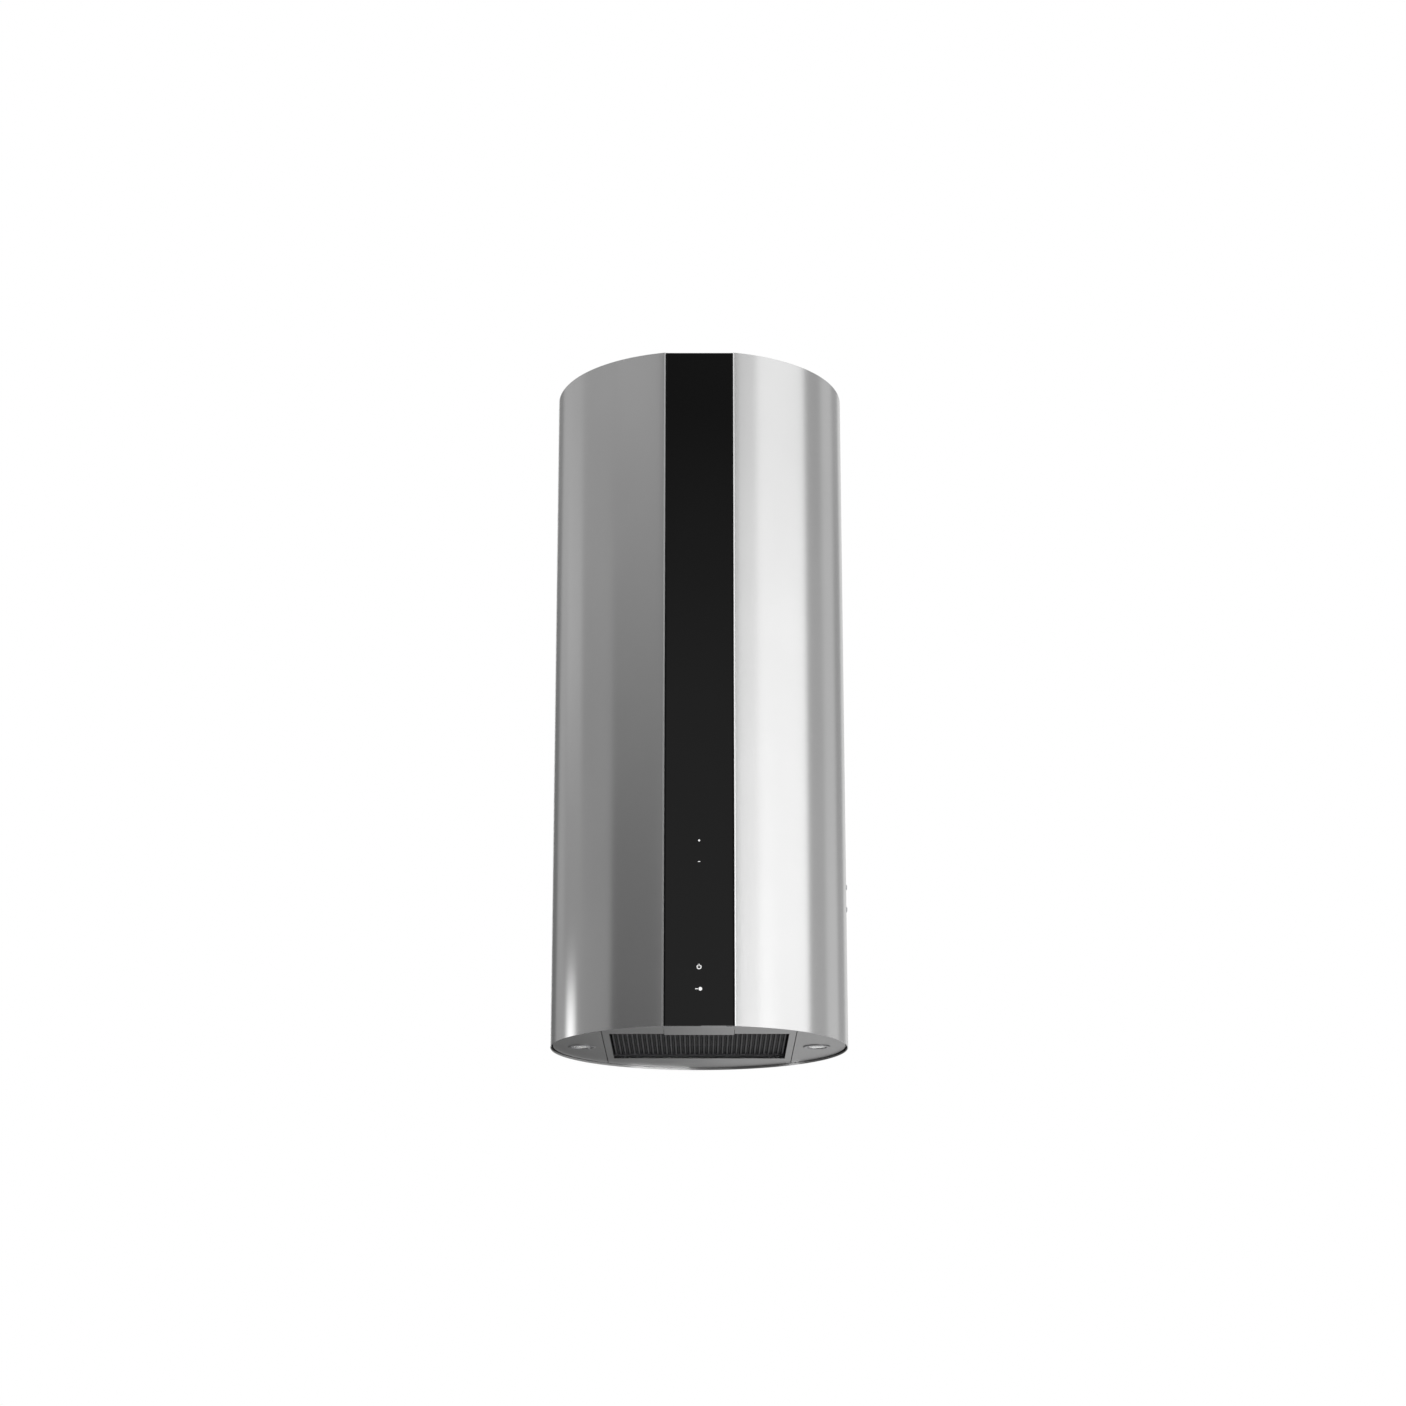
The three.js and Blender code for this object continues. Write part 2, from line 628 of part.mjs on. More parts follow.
function outletCollar() {
  const wall = DUCT_R - 1.5;
  const flange = DUCT_R + 17;
  const stop = DUCT_R - 6; // ring that the closed flaps rest on
  const outline = [
    [wall, 0], [flange, 0], [flange, 2], [DUCT_R, 2], [DUCT_R, COLLAR_H], [wall, COLLAR_H],
    [wall, 38], [stop, 38], [stop, 36], [wall, 36],
  ];
  const collar = turned(outline, 32).translate(0, 0, COLLAR_Z);
  const holes = [-FLAP_AXIS_Y, FLAP_AXIS_Y].map((y) => bar("x", 1.8, -90, 90, y, FLAP_AXIS_Z, 12));
  return cut(collar, ...holes);
}

// Half a disc on the -Y side of its hinge, with a barrel along the straight edge.
function damperFlap() {
  const radius = DUCT_R - 3;
  const edge = Math.asin(FLAP_AXIS_Y / radius);
  const half = new THREE.Shape();
  half.absarc(0, FLAP_AXIS_Y, radius, Math.PI + edge, 2 * Math.PI - edge, false);
  half.closePath();
  const barrel = bar("x", 3, -66, 66, 0, 0, 16);
  const bore = bar("x", 1.8, -90, 90, 0, 0, 12);
  return cut(join(alongZ(half, -0.75, 0.75, 14), barrel), bore);
}

function addDamper(name, y, turn) {
  place(`damper_flap_${name}`, damperFlap(), whitePlastic, 0, y, FLAP_AXIS_Z).rotation.z = turn;
  place(`damper_pin_${name}`, bar("x", 1.5, -74.6, 74.6, 0, 0, 12), springSteel, 0, y, FLAP_AXIS_Z);
}

add("outlet_collar", outletCollar(), blackPlastic);
addDamper("front", -FLAP_AXIS_Y, 0);
addDamper("rear", FLAP_AXIS_Y, Math.PI);

// ---- electronics on the chassis rear wall ----

const CASE_HALF = 75;
const CASE_FRONT = CHASSIS_Y + GAP;
const CASE_REAR = CASE_FRONT + 30.5;
const CASE_BOTTOM = -800;
const CASE_TOP = -640;
const GLAND_X = 45;
const GLAND_Y = CASE_FRONT + 15.5;

function controlBox() {
  const shell = box(-CASE_HALF, CASE_HALF, CASE_FRONT, CASE_REAR, CASE_BOTTOM, CASE_TOP);
  const inside = box(
    -CASE_HALF + SHEET, CASE_HALF - SHEET, CASE_FRONT + SHEET, CASE_REAR + 5,
    CASE_BOTTOM + SHEET, CASE_TOP - SHEET,
  );
  const glandHole = bar("z", 8.4, CASE_TOP - 5, CASE_TOP + 5, GLAND_X, GLAND_Y, 20);
  return cut(shell, inside, glandHole);
}

function controlBoxLid() {
  const half = CASE_HALF + 0.5;
  return box(-half, half, CASE_REAR + GAP, CASE_REAR + GAP + SHEET, CASE_BOTTOM - 0.5, CASE_TOP + 0.5);
}

function mainBoard() {
  const face = CASE_FRONT + 6;
  const board = box(-70, 20, face - 1.6, face, -790, -650);
  const relays = [-60, -40, -20].map((x) => box(x - 8, x + 8, face - 0.2, face + 14, -680, -660));
  const transformer = box(-62, -22, face - 0.2, face + 14, -780, -745);
  const chip = box(-8, 8, face - 0.2, face + 2.5, -730, -714);
  return join(board, transformer, chip, ...relays);
}

function terminalBlock() {
  const face = CASE_FRONT + SHEET + GAP;
  const block = box(26, 64, face, face + 18, -680, -664);
  const clamps = [32, 41, 50, 59].map((x) => bar("y", 2.2, face + 12, face + 20, x, -672, 12));
  return cut(block, ...clamps);
}

function lampDriver() {
  const face = CASE_FRONT + SHEET + GAP;
  const block = box(30, 68, face, face + 22, -792, -722);
  const feet = box(26, 72, face, face + 2.5, -786, -728);
  return join(block, feet);
}

function cableGland() {
  return turned([
    [4, -6], [8, -6], [8, GAP], [12, GAP], [12, 6], [10, 7], [10, 16], [7, 20], [4, 20],
  ], 16);
}

add("control_box", controlBox(), zincSteel);
add("control_box_lid", controlBoxLid(), zincSteel);
add("main_board", mainBoard(), circuitBoard);
add("terminal_block", terminalBlock(), whitePlastic);
add("lamp_driver", lampDriver(), whitePlastic);
add("capacitor", bar("x", 12.5, 26, 72, GLAND_Y, -702), whitePlastic);
place("cable_gland", cableGland(), blackPlastic, GLAND_X, GLAND_Y, CASE_TOP);

// ---- filter door ----

const FLANGE_X = DOOR_X - SHEET;
const NOTCH_FRONT = -177.8; // front end of the cut-out for the latch plate
const LATCH_HALF = 44.5;
const WING_HALF = 52; // half width of the latch plate over its wings
const GUIDE_FRONT = -172;
const BRIDGE_FRONT = -128;
const BRIDGE_REAR = -121;
const GUIDE_LENGTH = 8;

function doorOutline() {
  const frontHalf = Math.sqrt(DOOR_R ** 2 - DOOR_FRONT ** 2);
  const side = Math.acos(DOOR_X / DOOR_R);
  const front = Math.acos(frontHalf / DOOR_R);
  const outline = new THREE.Shape();
  outline.absarc(0, 0, DOOR_R, -front, -side, false);
  outline.absarc(0, 0, DOOR_R, side, Math.PI - side, false);
  outline.absarc(0, 0, DOOR_R, Math.PI + side, Math.PI + front, false);
  outline.closePath();
  outline.holes.push(polygon([
    [-WINDOW_X, WINDOW_Y], [-WINDOW_X, -WINDOW_Y], [-LATCH_HALF - 0.6, -WINDOW_Y],
    [-LATCH_HALF - 0.6, NOTCH_FRONT], [LATCH_HALF + 0.6, NOTCH_FRONT], [LATCH_HALF + 0.6, -WINDOW_Y],
    [WINDOW_X, -WINDOW_Y], [WINDOW_X, WINDOW_Y],
  ]));
  return outline;
}

// Ears that hold one hinge pin, bored a little larger than the pin.
function hingeEars(x) {
  const ear = (x0) => box(x0, x0 + 1.5, HINGE_Y - 4, HINGE_Y + 4, PLATE_TOP - 0.5, HINGE_Z + 4);
  const bore = bar("x", HINGE_PIN_R + GAP, x - 10, x + 10, HINGE_Y, HINGE_Z, 16);
  return cut(join(ear(x - 6), ear(x + 4.5)), bore);
}

// A bent tab that carries the filter frame on a pad and laps over its top.
function frameTab(sign, y) {
  const wall = FILTER_X + 0.4;
  const outer = wall + SHEET;
  const inner = FILTER_X - 3.1;
  const lapBottom = FRAME_BOTTOM + FILTER_H + GAP;
  const piece = (a, b, z0, z1) => {
    const [x0, x1] = sign > 0 ? [a, b] : [-b, -a];
    return box(x0, x1, y - 6, y + 6, z0, z1);
  };
  const pad = piece(inner, outer, PLATE_TOP - 0.5, FRAME_BOTTOM - GAP);
  const upright = piece(wall, outer, PLATE_TOP - 0.5, lapBottom + 1);
  const lap = piece(inner, outer, lapBottom, lapBottom + 1);
  return join(pad, upright, lap);
}

// Guides that hold the latch plate down, and the bridge that the latch spring pushes against.
function latchGuides() {
  const legTop = PLATE_TOP + 3.1;
  const guideRear = GUIDE_FRONT + GUIDE_LENGTH;
  const outer = WING_HALF + 3;
  const legX = outer - 1;
  const lipX = outer - 3.5;
  const leg = (sign, y0, y1) => box(sign * legX - 1, sign * legX + 1, y0, y1, PLATE_TOP - 0.5, legTop);
  const lip = (sign) => {
    const middle = sign * lipX;
    return box(middle - 3.5, middle + 3.5, GUIDE_FRONT, guideRear, legTop - SHEET, legTop);
  };
  const bridge = box(-outer, outer, BRIDGE_FRONT, BRIDGE_REAR, legTop - SHEET, legTop);
  const springSeat = box(-6, 6, BRIDGE_REAR - SHEET, BRIDGE_REAR, legTop - 0.5, PLATE_TOP + 12.3);
  const legs = [-1, 1].flatMap((sign) => [
    leg(sign, GUIDE_FRONT, guideRear), leg(sign, BRIDGE_FRONT, BRIDGE_REAR), lip(sign),
  ]);
  return join(bridge, springSeat, ...legs);
}

function filterPanel() {
  const plate = alongZ(doorOutline(), UNDERSIDE_Z, PLATE_TOP, 12);
  const flanges = [-1, 1].map((sign) => {
    const middle = sign * (FLANGE_X + SHEET / 2);
    return box(middle - SHEET / 2, middle + SHEET / 2, -116, 112, PLATE_TOP - 0.5, PLATE_TOP + 10);
  });
  const tabs = [-1, 1].flatMap((sign) => [-60, 60].map((y) => frameTab(sign, y)));
  return join(plate, ...flanges, ...tabs, hingeEars(-HINGE_X), hingeEars(HINGE_X), latchGuides());
}

const CORE_X = FILTER_X - FILTER_WALL_X - GAP; // half sizes of what lies inside the filter frame
const CORE_Y = FILTER_Y - FILTER_WALL_Y - GAP;
const RIB_BOTTOM = FRAME_BOTTOM + 2.7;
const CROSS_BAR_TOP = RIB_BOTTOM + RIB_H + 0.9;

function filterFrame() {
  const ring = rectangle(-FILTER_X, FILTER_X, -FILTER_Y, FILTER_Y);
  const x = FILTER_X - FILTER_WALL_X;
  const y = FILTER_Y - FILTER_WALL_Y;
  ring.holes.push(rectangle(-x, x, -y, y));
  return alongZ(ring, FRAME_BOTTOM, FRAME_BOTTOM + FILTER_H);
}

function filterGrille() {
  const first = (-RIB_PITCH * (RIB_COUNT - 1)) / 2;
  const ribs = Array.from({ length: RIB_COUNT }, (_, i) => {
    const x = first + i * RIB_PITCH;
    return box(x - RIB_W / 2, x + RIB_W / 2, -CORE_Y, CORE_Y, RIB_BOTTOM, RIB_BOTTOM + RIB_H);
  });
  const crossBar = (y) => box(-CORE_X, CORE_X, y - 5, y + 5, CROSS_BAR_TOP - 1.4, CROSS_BAR_TOP);
  return join(crossBar(-96), crossBar(96), ...ribs);
}

function filterMesh() {
  return box(-CORE_X, CORE_X, -CORE_Y, CORE_Y, CROSS_BAR_TOP + GAP, FRAME_BOTTOM + FILTER_H - 0.1);
}

// The latch: a wide pull plate in the door's front margin, with wings that run on the door and a tongue.
const TONGUE_TIP = STRIKE_REAR + 0.6;
const UPRIGHT_REAR = -170;

function latchPlate() {
  const top = PLATE_TOP + 1.5;
  const plate = box(-LATCH_HALF, LATCH_HALF, NOTCH_FRONT + 0.5, -99, UNDERSIDE_Z, top);
  const wings = box(-WING_HALF, WING_HALF, -175, BRIDGE_FRONT - 2, PLATE_TOP + GAP, top);
  const upright = box(-10, 10, -172, UPRIGHT_REAR, top - 0.5, STRIKE_Z + 4.1);
  const tongue = box(-10, 10, TONGUE_TIP, UPRIGHT_REAR, STRIKE_Z + 2.1, STRIKE_Z + 4.1);
  return join(plate, wings, upright, tongue);
}

// Coil spring along Y between the latch's upright and the bridge.
function latchSpring() {
  const coils = 8;
  const start = UPRIGHT_REAR + 0.4;
  const end = BRIDGE_REAR - SHEET - 0.4;
  const wire = 0.45;
  const radius = 3;
  class Helix extends THREE.Curve {
    getPoint(t, target = new THREE.Vector3()) {
      const angle = 2 * Math.PI * coils * t;
      const y = start + wire + (end - start - 2 * wire) * t;
      return target.set(radius * Math.cos(angle), y, PLATE_TOP + 7.3 + radius * Math.sin(angle));
    }
  }
  const section = new THREE.Shape();
  section.absarc(0, 0, wire, 0, 2 * Math.PI);
  const options = { steps: coils * 9, bevelEnabled: false, extrudePath: new Helix(), curveSegments: 2 };
  return new THREE.ExtrudeGeometry(section, options);
}

add("filter_panel", filterPanel(), brushedSteel);
add("filter_frame", filterFrame(), filterAluminium);
add("filter_grille", filterGrille(), filterAluminium);
add("filter_mesh", filterMesh(), filterAluminium);
add("latch_plate", latchPlate(), brushedSteel);
add("latch_spring", latchSpring(), springSteel);
eachSide((side, sign) => {
  const pin = bar("x", HINGE_PIN_R, -8, 8, 0, 0, 16);
  place(`filter_hinge_pin_${side}`, pin, springSteel, sign * HINGE_X, HINGE_Y, HINGE_Z);
});

export default hood;
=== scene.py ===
"""Looks of an island range hood: a satin steel tube with a black glass strip, round its CAD frame.

Metres, +Z up, the glass strip faces -Y. Azimuths are degrees from -Y towards +X.
"""

import json
import math

import bmesh
import bpy
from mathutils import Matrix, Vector


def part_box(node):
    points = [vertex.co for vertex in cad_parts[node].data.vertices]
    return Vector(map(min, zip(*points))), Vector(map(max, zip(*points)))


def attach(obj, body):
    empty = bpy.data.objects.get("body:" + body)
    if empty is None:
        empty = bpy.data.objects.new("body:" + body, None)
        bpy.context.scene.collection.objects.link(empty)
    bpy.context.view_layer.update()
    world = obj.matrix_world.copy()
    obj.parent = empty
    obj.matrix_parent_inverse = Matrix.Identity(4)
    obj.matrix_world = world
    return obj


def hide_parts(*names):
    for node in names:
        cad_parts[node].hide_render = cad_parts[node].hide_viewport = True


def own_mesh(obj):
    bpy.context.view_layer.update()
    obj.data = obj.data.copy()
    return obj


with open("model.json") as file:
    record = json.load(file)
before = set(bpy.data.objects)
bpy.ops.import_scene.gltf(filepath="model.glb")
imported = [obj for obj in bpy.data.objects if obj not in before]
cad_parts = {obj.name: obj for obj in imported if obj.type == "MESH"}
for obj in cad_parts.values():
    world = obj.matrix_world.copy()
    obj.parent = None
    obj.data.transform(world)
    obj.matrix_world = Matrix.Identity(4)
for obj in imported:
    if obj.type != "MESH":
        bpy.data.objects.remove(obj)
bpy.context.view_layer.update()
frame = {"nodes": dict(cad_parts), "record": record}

MM = 0.001
scene = bpy.context.scene
radians = math.radians

# ---- places read from the frame ----

TUBE_LOW, TUBE_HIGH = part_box("outer_tube")
GLASS_LOW, GLASS_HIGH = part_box("front_glass")
PLATE_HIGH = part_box("ceiling_plate")[1]
PANEL_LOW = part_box("filter_panel")[0]
LENS_LOW, LENS_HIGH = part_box("lamp_lens_right")
BEZEL_LOW, BEZEL_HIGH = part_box("lamp_bezel_right")
MESH_LOW, MESH_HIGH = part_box("filter_mesh")
GRILLE_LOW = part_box("filter_grille")[0]
IMPELLER_LOW, IMPELLER_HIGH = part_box("impeller")
SPRING_LOW, SPRING_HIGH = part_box("latch_spring")
SCREW_LOW, SCREW_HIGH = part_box("tube_screw_upper")
LOW_SCREW_LOW, LOW_SCREW_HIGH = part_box("tube_screw_lower")

TUBE_R = -TUBE_LOW.x
SHEET = 1.2 * MM
OPENING_HALF = 46.5 * MM
LEDGE_HALF = 34 * MM
GLASS_GAP = 0.3 * MM
FACET_Y = GLASS_LOW.y
RIM_Z = TUBE_LOW.z
UNDERSIDE_Z = PANEL_LOW.z
RIB_PITCH = 6.2 * MM
RIB_GAPS = 36
EDGE_THICK = 0.6 * MM
EDGE_TURN = 16.5  # degrees that an edge strip's face turns away from -Y
PRINT_THICK = 0.04 * MM
LAMP_X = (LENS_LOW.x + LENS_HIGH.x) / 2


# ---- node materials ----

def make_material(name, colour, roughness, metallic=0.0, **uniform):
    """A Principled material. uniform holds the sockets that are the same all over the surface."""
    material = bpy.data.materials.new(name)
    material.use_nodes = True
    sockets = material.node_tree.nodes["Principled BSDF"].inputs
    sockets["Base Color"].default_value = (*colour, 1)
    sockets["Roughness"].default_value = roughness
    sockets["Metallic"].default_value = metallic
    for socket, value in uniform.items():
        sockets[socket.replace("_", " ")].default_value = value
    return material


def shader(material):
    return material.node_tree.nodes["Principled BSDF"]


def add_node(material, kind, **inputs):
    node = material.node_tree.nodes.new(kind)
    for socket, value in inputs.items():
        node.inputs[socket.replace("_", " ")].default_value = value
    return node


def link(material, output, target):
    material.node_tree.links.new(output, target)


def stretched_point(material, stretch):
    """The point on the object, in metres, scaled along X, Y and Z."""
    place = add_node(material, "ShaderNodeTexCoord")
    mapping = add_node(material, "ShaderNodeMapping", Scale=stretch)
    link(material, place.outputs["Object"], mapping.inputs["Vector"])
    return mapping.outputs["Vector"]


def noise(material, stretch, detail=3.0, roughness=0.55):
    node = add_node(material, "ShaderNodeTexNoise", Scale=1.0, Detail=detail, Roughness=roughness)
    link(material, stretched_point(material, stretch), node.inputs["Vector"])
    return node.outputs["Fac"]


def cells(material, stretch, output="Color", feature="F1"):
    node = add_node(material, "ShaderNodeTexVoronoi", Scale=1.0)
    node.feature = feature
    link(material, stretched_point(material, stretch), node.inputs["Vector"])
    return node.outputs[output]


def spread(material, value, low, high, socket):
    """Maps a texture's middle range to low..high on one of the shader's sockets."""
    node = add_node(material, "ShaderNodeMapRange", From_Min=0.25, From_Max=0.75, To_Min=low, To_Max=high)
    link(material, value, node.inputs["Value"])
    link(material, node.outputs["Result"], shader(material).inputs[socket])


def tint(material, value, dark, light):
    """Colours the surface between two tones by a texture."""
    ramp = add_node(material, "ShaderNodeValToRGB")
    ramp.color_ramp.elements[0].position = 0.3
    ramp.color_ramp.elements[1].position = 0.7
    ramp.color_ramp.elements[0].color = (*dark, 1)
    ramp.color_ramp.elements[1].color = (*light, 1)
    link(material, value, ramp.inputs["Fac"])
    link(material, ramp.outputs["Color"], shader(material).inputs["Base Color"])


def bump(material, value, height, strength=1.0):
    node = add_node(material, "ShaderNodeBump", Strength=strength, Distance=height)
    link(material, value, node.inputs["Height"])
    link(material, node.outputs["Normal"], shader(material).inputs["Normal"])


def grey(level):
    return (level, level, level)


def brushed(name, level, stretch, low, high, anisotropic=0.0):
    """Satin steel whose fine scratches run along the direction with the smallest stretch."""
    material = make_material(name, grey(level), (low + high) / 2, 1.0, Anisotropic=anisotropic)
    scratches = noise(material, stretch, detail=4.0, roughness=0.7)
    spread(material, scratches, low, high, "Roughness")
    cloud = noise(material, (6, 6, 4), detail=2.0)
    tint(material, cloud, grey(level * 0.97), grey(level * 1.03))
    bump(material, scratches, 0.006 * MM, 0.35)
    return material


def tube_steel(name, level):
    """Scratches run round the tube, so reflections stay sharp sideways and blur up and down."""
    material = brushed(name, level, (24, 24, 2400), 0.21, 0.27, anisotropic=0.75)
    shader(material).inputs["Anisotropic Rotation"].default_value = 0.25
    around = add_node(material, "ShaderNodeTangent")
    around.direction_type = "RADIAL"
    around.axis = "Z"
    link(material, around.outputs["Tangent"], shader(material).inputs["Tangent"])
    return material


def black_glass():
    material = make_material("black_glass", grey(0.004), 0.03, IOR=1.5)
    film = noise(material, (9, 9, 14), detail=5.0)
    spread(material, film, 0.015, 0.06, "Roughness")
    tint(material, noise(material, (3, 3, 2)), grey(0.0035), grey(0.0048))
    return material


def black_border():
    """Matt black enamel, fired on the glass along its edges."""
    material = make_material("black_border", grey(0.003), 0.85, Specular_IOR_Level=0.15)
    spread(material, noise(material, (700, 700, 700)), 0.75, 0.95, "Roughness")
    tint(material, noise(material, (40, 40, 40)), grey(0.0025), grey(0.004))
    return material


def galvanised():
    """Zinc spangle: flat crystals of slightly different tone."""
    material = make_material("galvanised_steel", grey(0.5), 0.4, 1.0)
    spangle = cells(material, (140, 140, 140))
    tint(material, spangle, (0.42, 0.43, 0.45), (0.58, 0.59, 0.61))
    spread(material, noise(material, (60, 60, 60)), 0.32, 0.5, "Roughness")
    bump(material, spangle, 0.01 * MM, 0.4)
    return material


def drawn_metal(name, colour, low, high, stretch=(500, 500, 500), height=0.004):
    material = make_material(name, colour, (low + high) / 2, 1.0)
    marks = noise(material, stretch, detail=4.0)
    spread(material, marks, low, high, "Roughness")
    cloud = noise(material, (40, 40, 40))
    tint(material, cloud, [c * 0.9 for c in colour], [min(1, c * 1.08) for c in colour])
    bump(material, marks, height * MM, 0.5)
    return material


def moulded(name, colour, low, high, grain=1600, height=0.02):
    """Plastic or rubber with a fine spark-eroded grain."""
    material = make_material(name, colour, (low + high) / 2)
    grains = noise(material, (grain, grain, grain), detail=2.0)
    spread(material, noise(material, (90, 90, 90)), low, high, "Roughness")
    cloud = noise(material, (25, 25, 25))
    tint(material, cloud, [c * 0.92 for c in colour], [min(1, c * 1.06) for c in colour])
    bump(material, grains, height * MM, 0.5)
    return material


def circuit_board():
    """Green solder mask with paler copper areas under it."""
    material = make_material("solder_mask", (0.02, 0.16, 0.07), 0.3)
    copper = cells(material, (230, 230, 90), output="Distance", feature="DISTANCE_TO_EDGE")
    tint(material, copper, (0.035, 0.24, 0.1), (0.012, 0.11, 0.045))
    spread(material, copper, 0.22, 0.4, "Roughness")
    bump(material, copper, 0.04 * MM, 0.4)
    return material


def clear_glass():
    material = make_material("lamp_glass", grey(0.95), 0.05, Transmission_Weight=1.0, IOR=1.46)
    spread(material, noise(material, (800, 800, 800)), 0.03, 0.12, "Roughness")
    return material


def glowing(name, colour, strength):
    material = make_material(name, colour, 0.4, Emission_Strength=strength)
    shader(material).inputs["Emission Color"].default_value = (*colour, 1)
    tint(material, noise(material, (900, 900, 900)), [c * 0.85 for c in colour], colour)
    return material


LOOKS = {
    "tube": tube_steel("satin_steel_tube", 0.62),
    # painted highlight: the opening's edge strips take a lighter copy of the tube's steel
    "edge": tube_steel("edge_steel_painted_highlight", 0.82),
    "plate": brushed("satin_steel_plate", 0.5, (2400, 30, 400), 0.3, 0.4),
    "glass": black_glass(),
    "print": moulded("white_print", grey(0.9), 0.4, 0.5, grain=3000, height=0.002),
    "zinc": galvanised(),
    "spring": drawn_metal("spring_steel", (0.55, 0.56, 0.58), 0.2, 0.32),
    "filter": drawn_metal("filter_aluminium", (0.125, 0.125, 0.13), 0.5, 0.65, (900, 60, 900)),
    "mesh": drawn_metal("mesh_aluminium", (0.6, 0.6, 0.61), 0.5, 0.65, (900, 900, 900)),
    "bezel": drawn_metal("bezel_steel", (0.42, 0.42, 0.43), 0.25, 0.35),
    "cast": drawn_metal("cast_aluminium", (0.45, 0.46, 0.47), 0.45, 0.6, (700, 700, 700), 0.05),
    "bronze": drawn_metal("sintered_bronze", (0.5, 0.36, 0.2), 0.35, 0.5, (1800, 1800, 1800), 0.02),
    "mirror": drawn_metal("reflector", (0.8, 0.8, 0.8), 0.08, 0.15),
    "black": moulded("black_plastic", grey(0.03), 0.4, 0.55),
    "border": black_border(),
    "white": moulded("white_plastic", (0.8, 0.8, 0.77), 0.35, 0.5),
    "board": circuit_board(),
    "rubber": moulded("soft_rubber", grey(0.04), 0.7, 0.85, grain=900),
    "lens": clear_glass(),
    "led": glowing("led_phosphor", (1.0, 0.93, 0.72), 1.5),
}

SLOT_LOOKS = {
    "brushed_steel": "plate",
    "black_glass": "glass",
    "zinc_steel": "zinc",
    "spring_steel": "spring",
    "filter_aluminium": "filter",
    "dark_bezel": "bezel",
    "lamp_lens": "lens",
    "cast_aluminium": "cast",
    "bronze": "bronze",
    "black_plastic": "black",
    "white_plastic": "white",
    "circuit_board": "board",
    "soft_rubber": "rubber",
}


# ---- smooth surfaces and soft edges ----

def smoothing_group(limit):
    """Geometry nodes that merge split corners and shade smooth except over edges sharper than limit."""
    group = bpy.data.node_groups.new("smooth_by_angle", "GeometryNodeTree")
    group.interface.new_socket("Geometry", in_out="INPUT", socket_type="NodeSocketGeometry")
    group.interface.new_socket("Geometry", in_out="OUTPUT", socket_type="NodeSocketGeometry")
    nodes, links = group.nodes, group.links
    start, end = nodes.new("NodeGroupInput"), nodes.new("NodeGroupOutput")
    merge = nodes.new("GeometryNodeMergeByDistance")
    merge.inputs["Distance"].default_value = 0.002 * MM
    faces = nodes.new("GeometryNodeSetShadeSmooth")
    edges = nodes.new("GeometryNodeSetShadeSmooth")
    edges.domain = "EDGE"
    edges.inputs["Shade Smooth"].default_value = False
    angle = nodes.new("GeometryNodeInputMeshEdgeAngle")
    sharp = nodes.new("FunctionNodeCompare")
    sharp.operation = "GREATER_THAN"
    sharp.inputs["B"].default_value = limit
    links.new(start.outputs[0], merge.inputs["Geometry"])
    links.new(merge.outputs[0], faces.inputs["Geometry"])
    links.new(faces.outputs[0], edges.inputs["Geometry"])
    links.new(angle.outputs["Unsigned Angle"], sharp.inputs["A"])
    links.new(sharp.outputs["Result"], edges.inputs["Selection"])
    links.new(edges.outputs[0], end.inputs[0])
    return group


SHARP_ANGLE = radians(32)
SMOOTHING = smoothing_group(SHARP_ANGLE)


def soften(piece, width, segments=2):
    """Smooth shading, with a rounding of that width on every sharp edge, or none for 0."""
    smooth = piece.modifiers.new("smooth", "NODES")
    smooth.node_group = SMOOTHING
    if width:
        rounding = piece.modifiers.new("rounding", "BEVEL")
        rounding.width = width
        rounding.segments = segments
        rounding.limit_method = "ANGLE"
        rounding.angle_limit = SHARP_ANGLE
        rounding.harden_normals = True


# ---- mesh building ----

def new_piece(name, bm, look, body, replaced=()):
    bmesh.ops.recalc_face_normals(bm, faces=bm.faces)
    mesh = bpy.data.meshes.new(name)
    bm.to_mesh(mesh)
    bm.free()
    mesh.materials.append(LOOKS[look])
    piece = bpy.data.objects.new(name, mesh)
    scene.collection.objects.link(piece)
    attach(piece, body)
    if replaced:
        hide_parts(*replaced)
    return piece


def extrude(bm, outline, start, end):
    """A solid between two copies of a flat outline; start and end turn (u, v) into a point."""
    first = [bm.verts.new(start(u, v)) for u, v in outline]
    last = [bm.verts.new(end(u, v)) for u, v in outline]
    for i in range(len(outline)):
        j = (i + 1) % len(outline)
        bm.faces.new((first[i], first[j], last[j], last[i]))
    bm.faces.new(list(reversed(first)))
    bm.faces.new(last)


def lathe(bm, outline, place, sides, closed=False):
    """Turns (radius, height) points about an axis; place turns (x, y, height) into a point."""
    rings = []
    for radius, height in outline:
        if radius == 0:
            rings.append([bm.verts.new(place(0, 0, height))])
            continue
        around = arc(radius, 0, 2 * math.pi, sides)[:-1]
        rings.append([bm.verts.new(place(x, y, height)) for x, y in around])
    pairs = list(zip(rings, rings[1:]))
    if closed:
        pairs.append((rings[-1], rings[0]))
    for low, high in pairs:
        for i in range(sides):
            j = (i + 1) % sides
            corners = [low[i % len(low)], low[j % len(low)], high[j % len(high)], high[i % len(high)]]
            bm.faces.new(list(dict.fromkeys(corners)))


def arc(radius, start, end, steps):
    angles = [start + (end - start) * i / steps for i in range(steps + 1)]
    return [(radius * math.cos(a), radius * math.sin(a)) for a in angles]


# ---- tube and glass strip ----

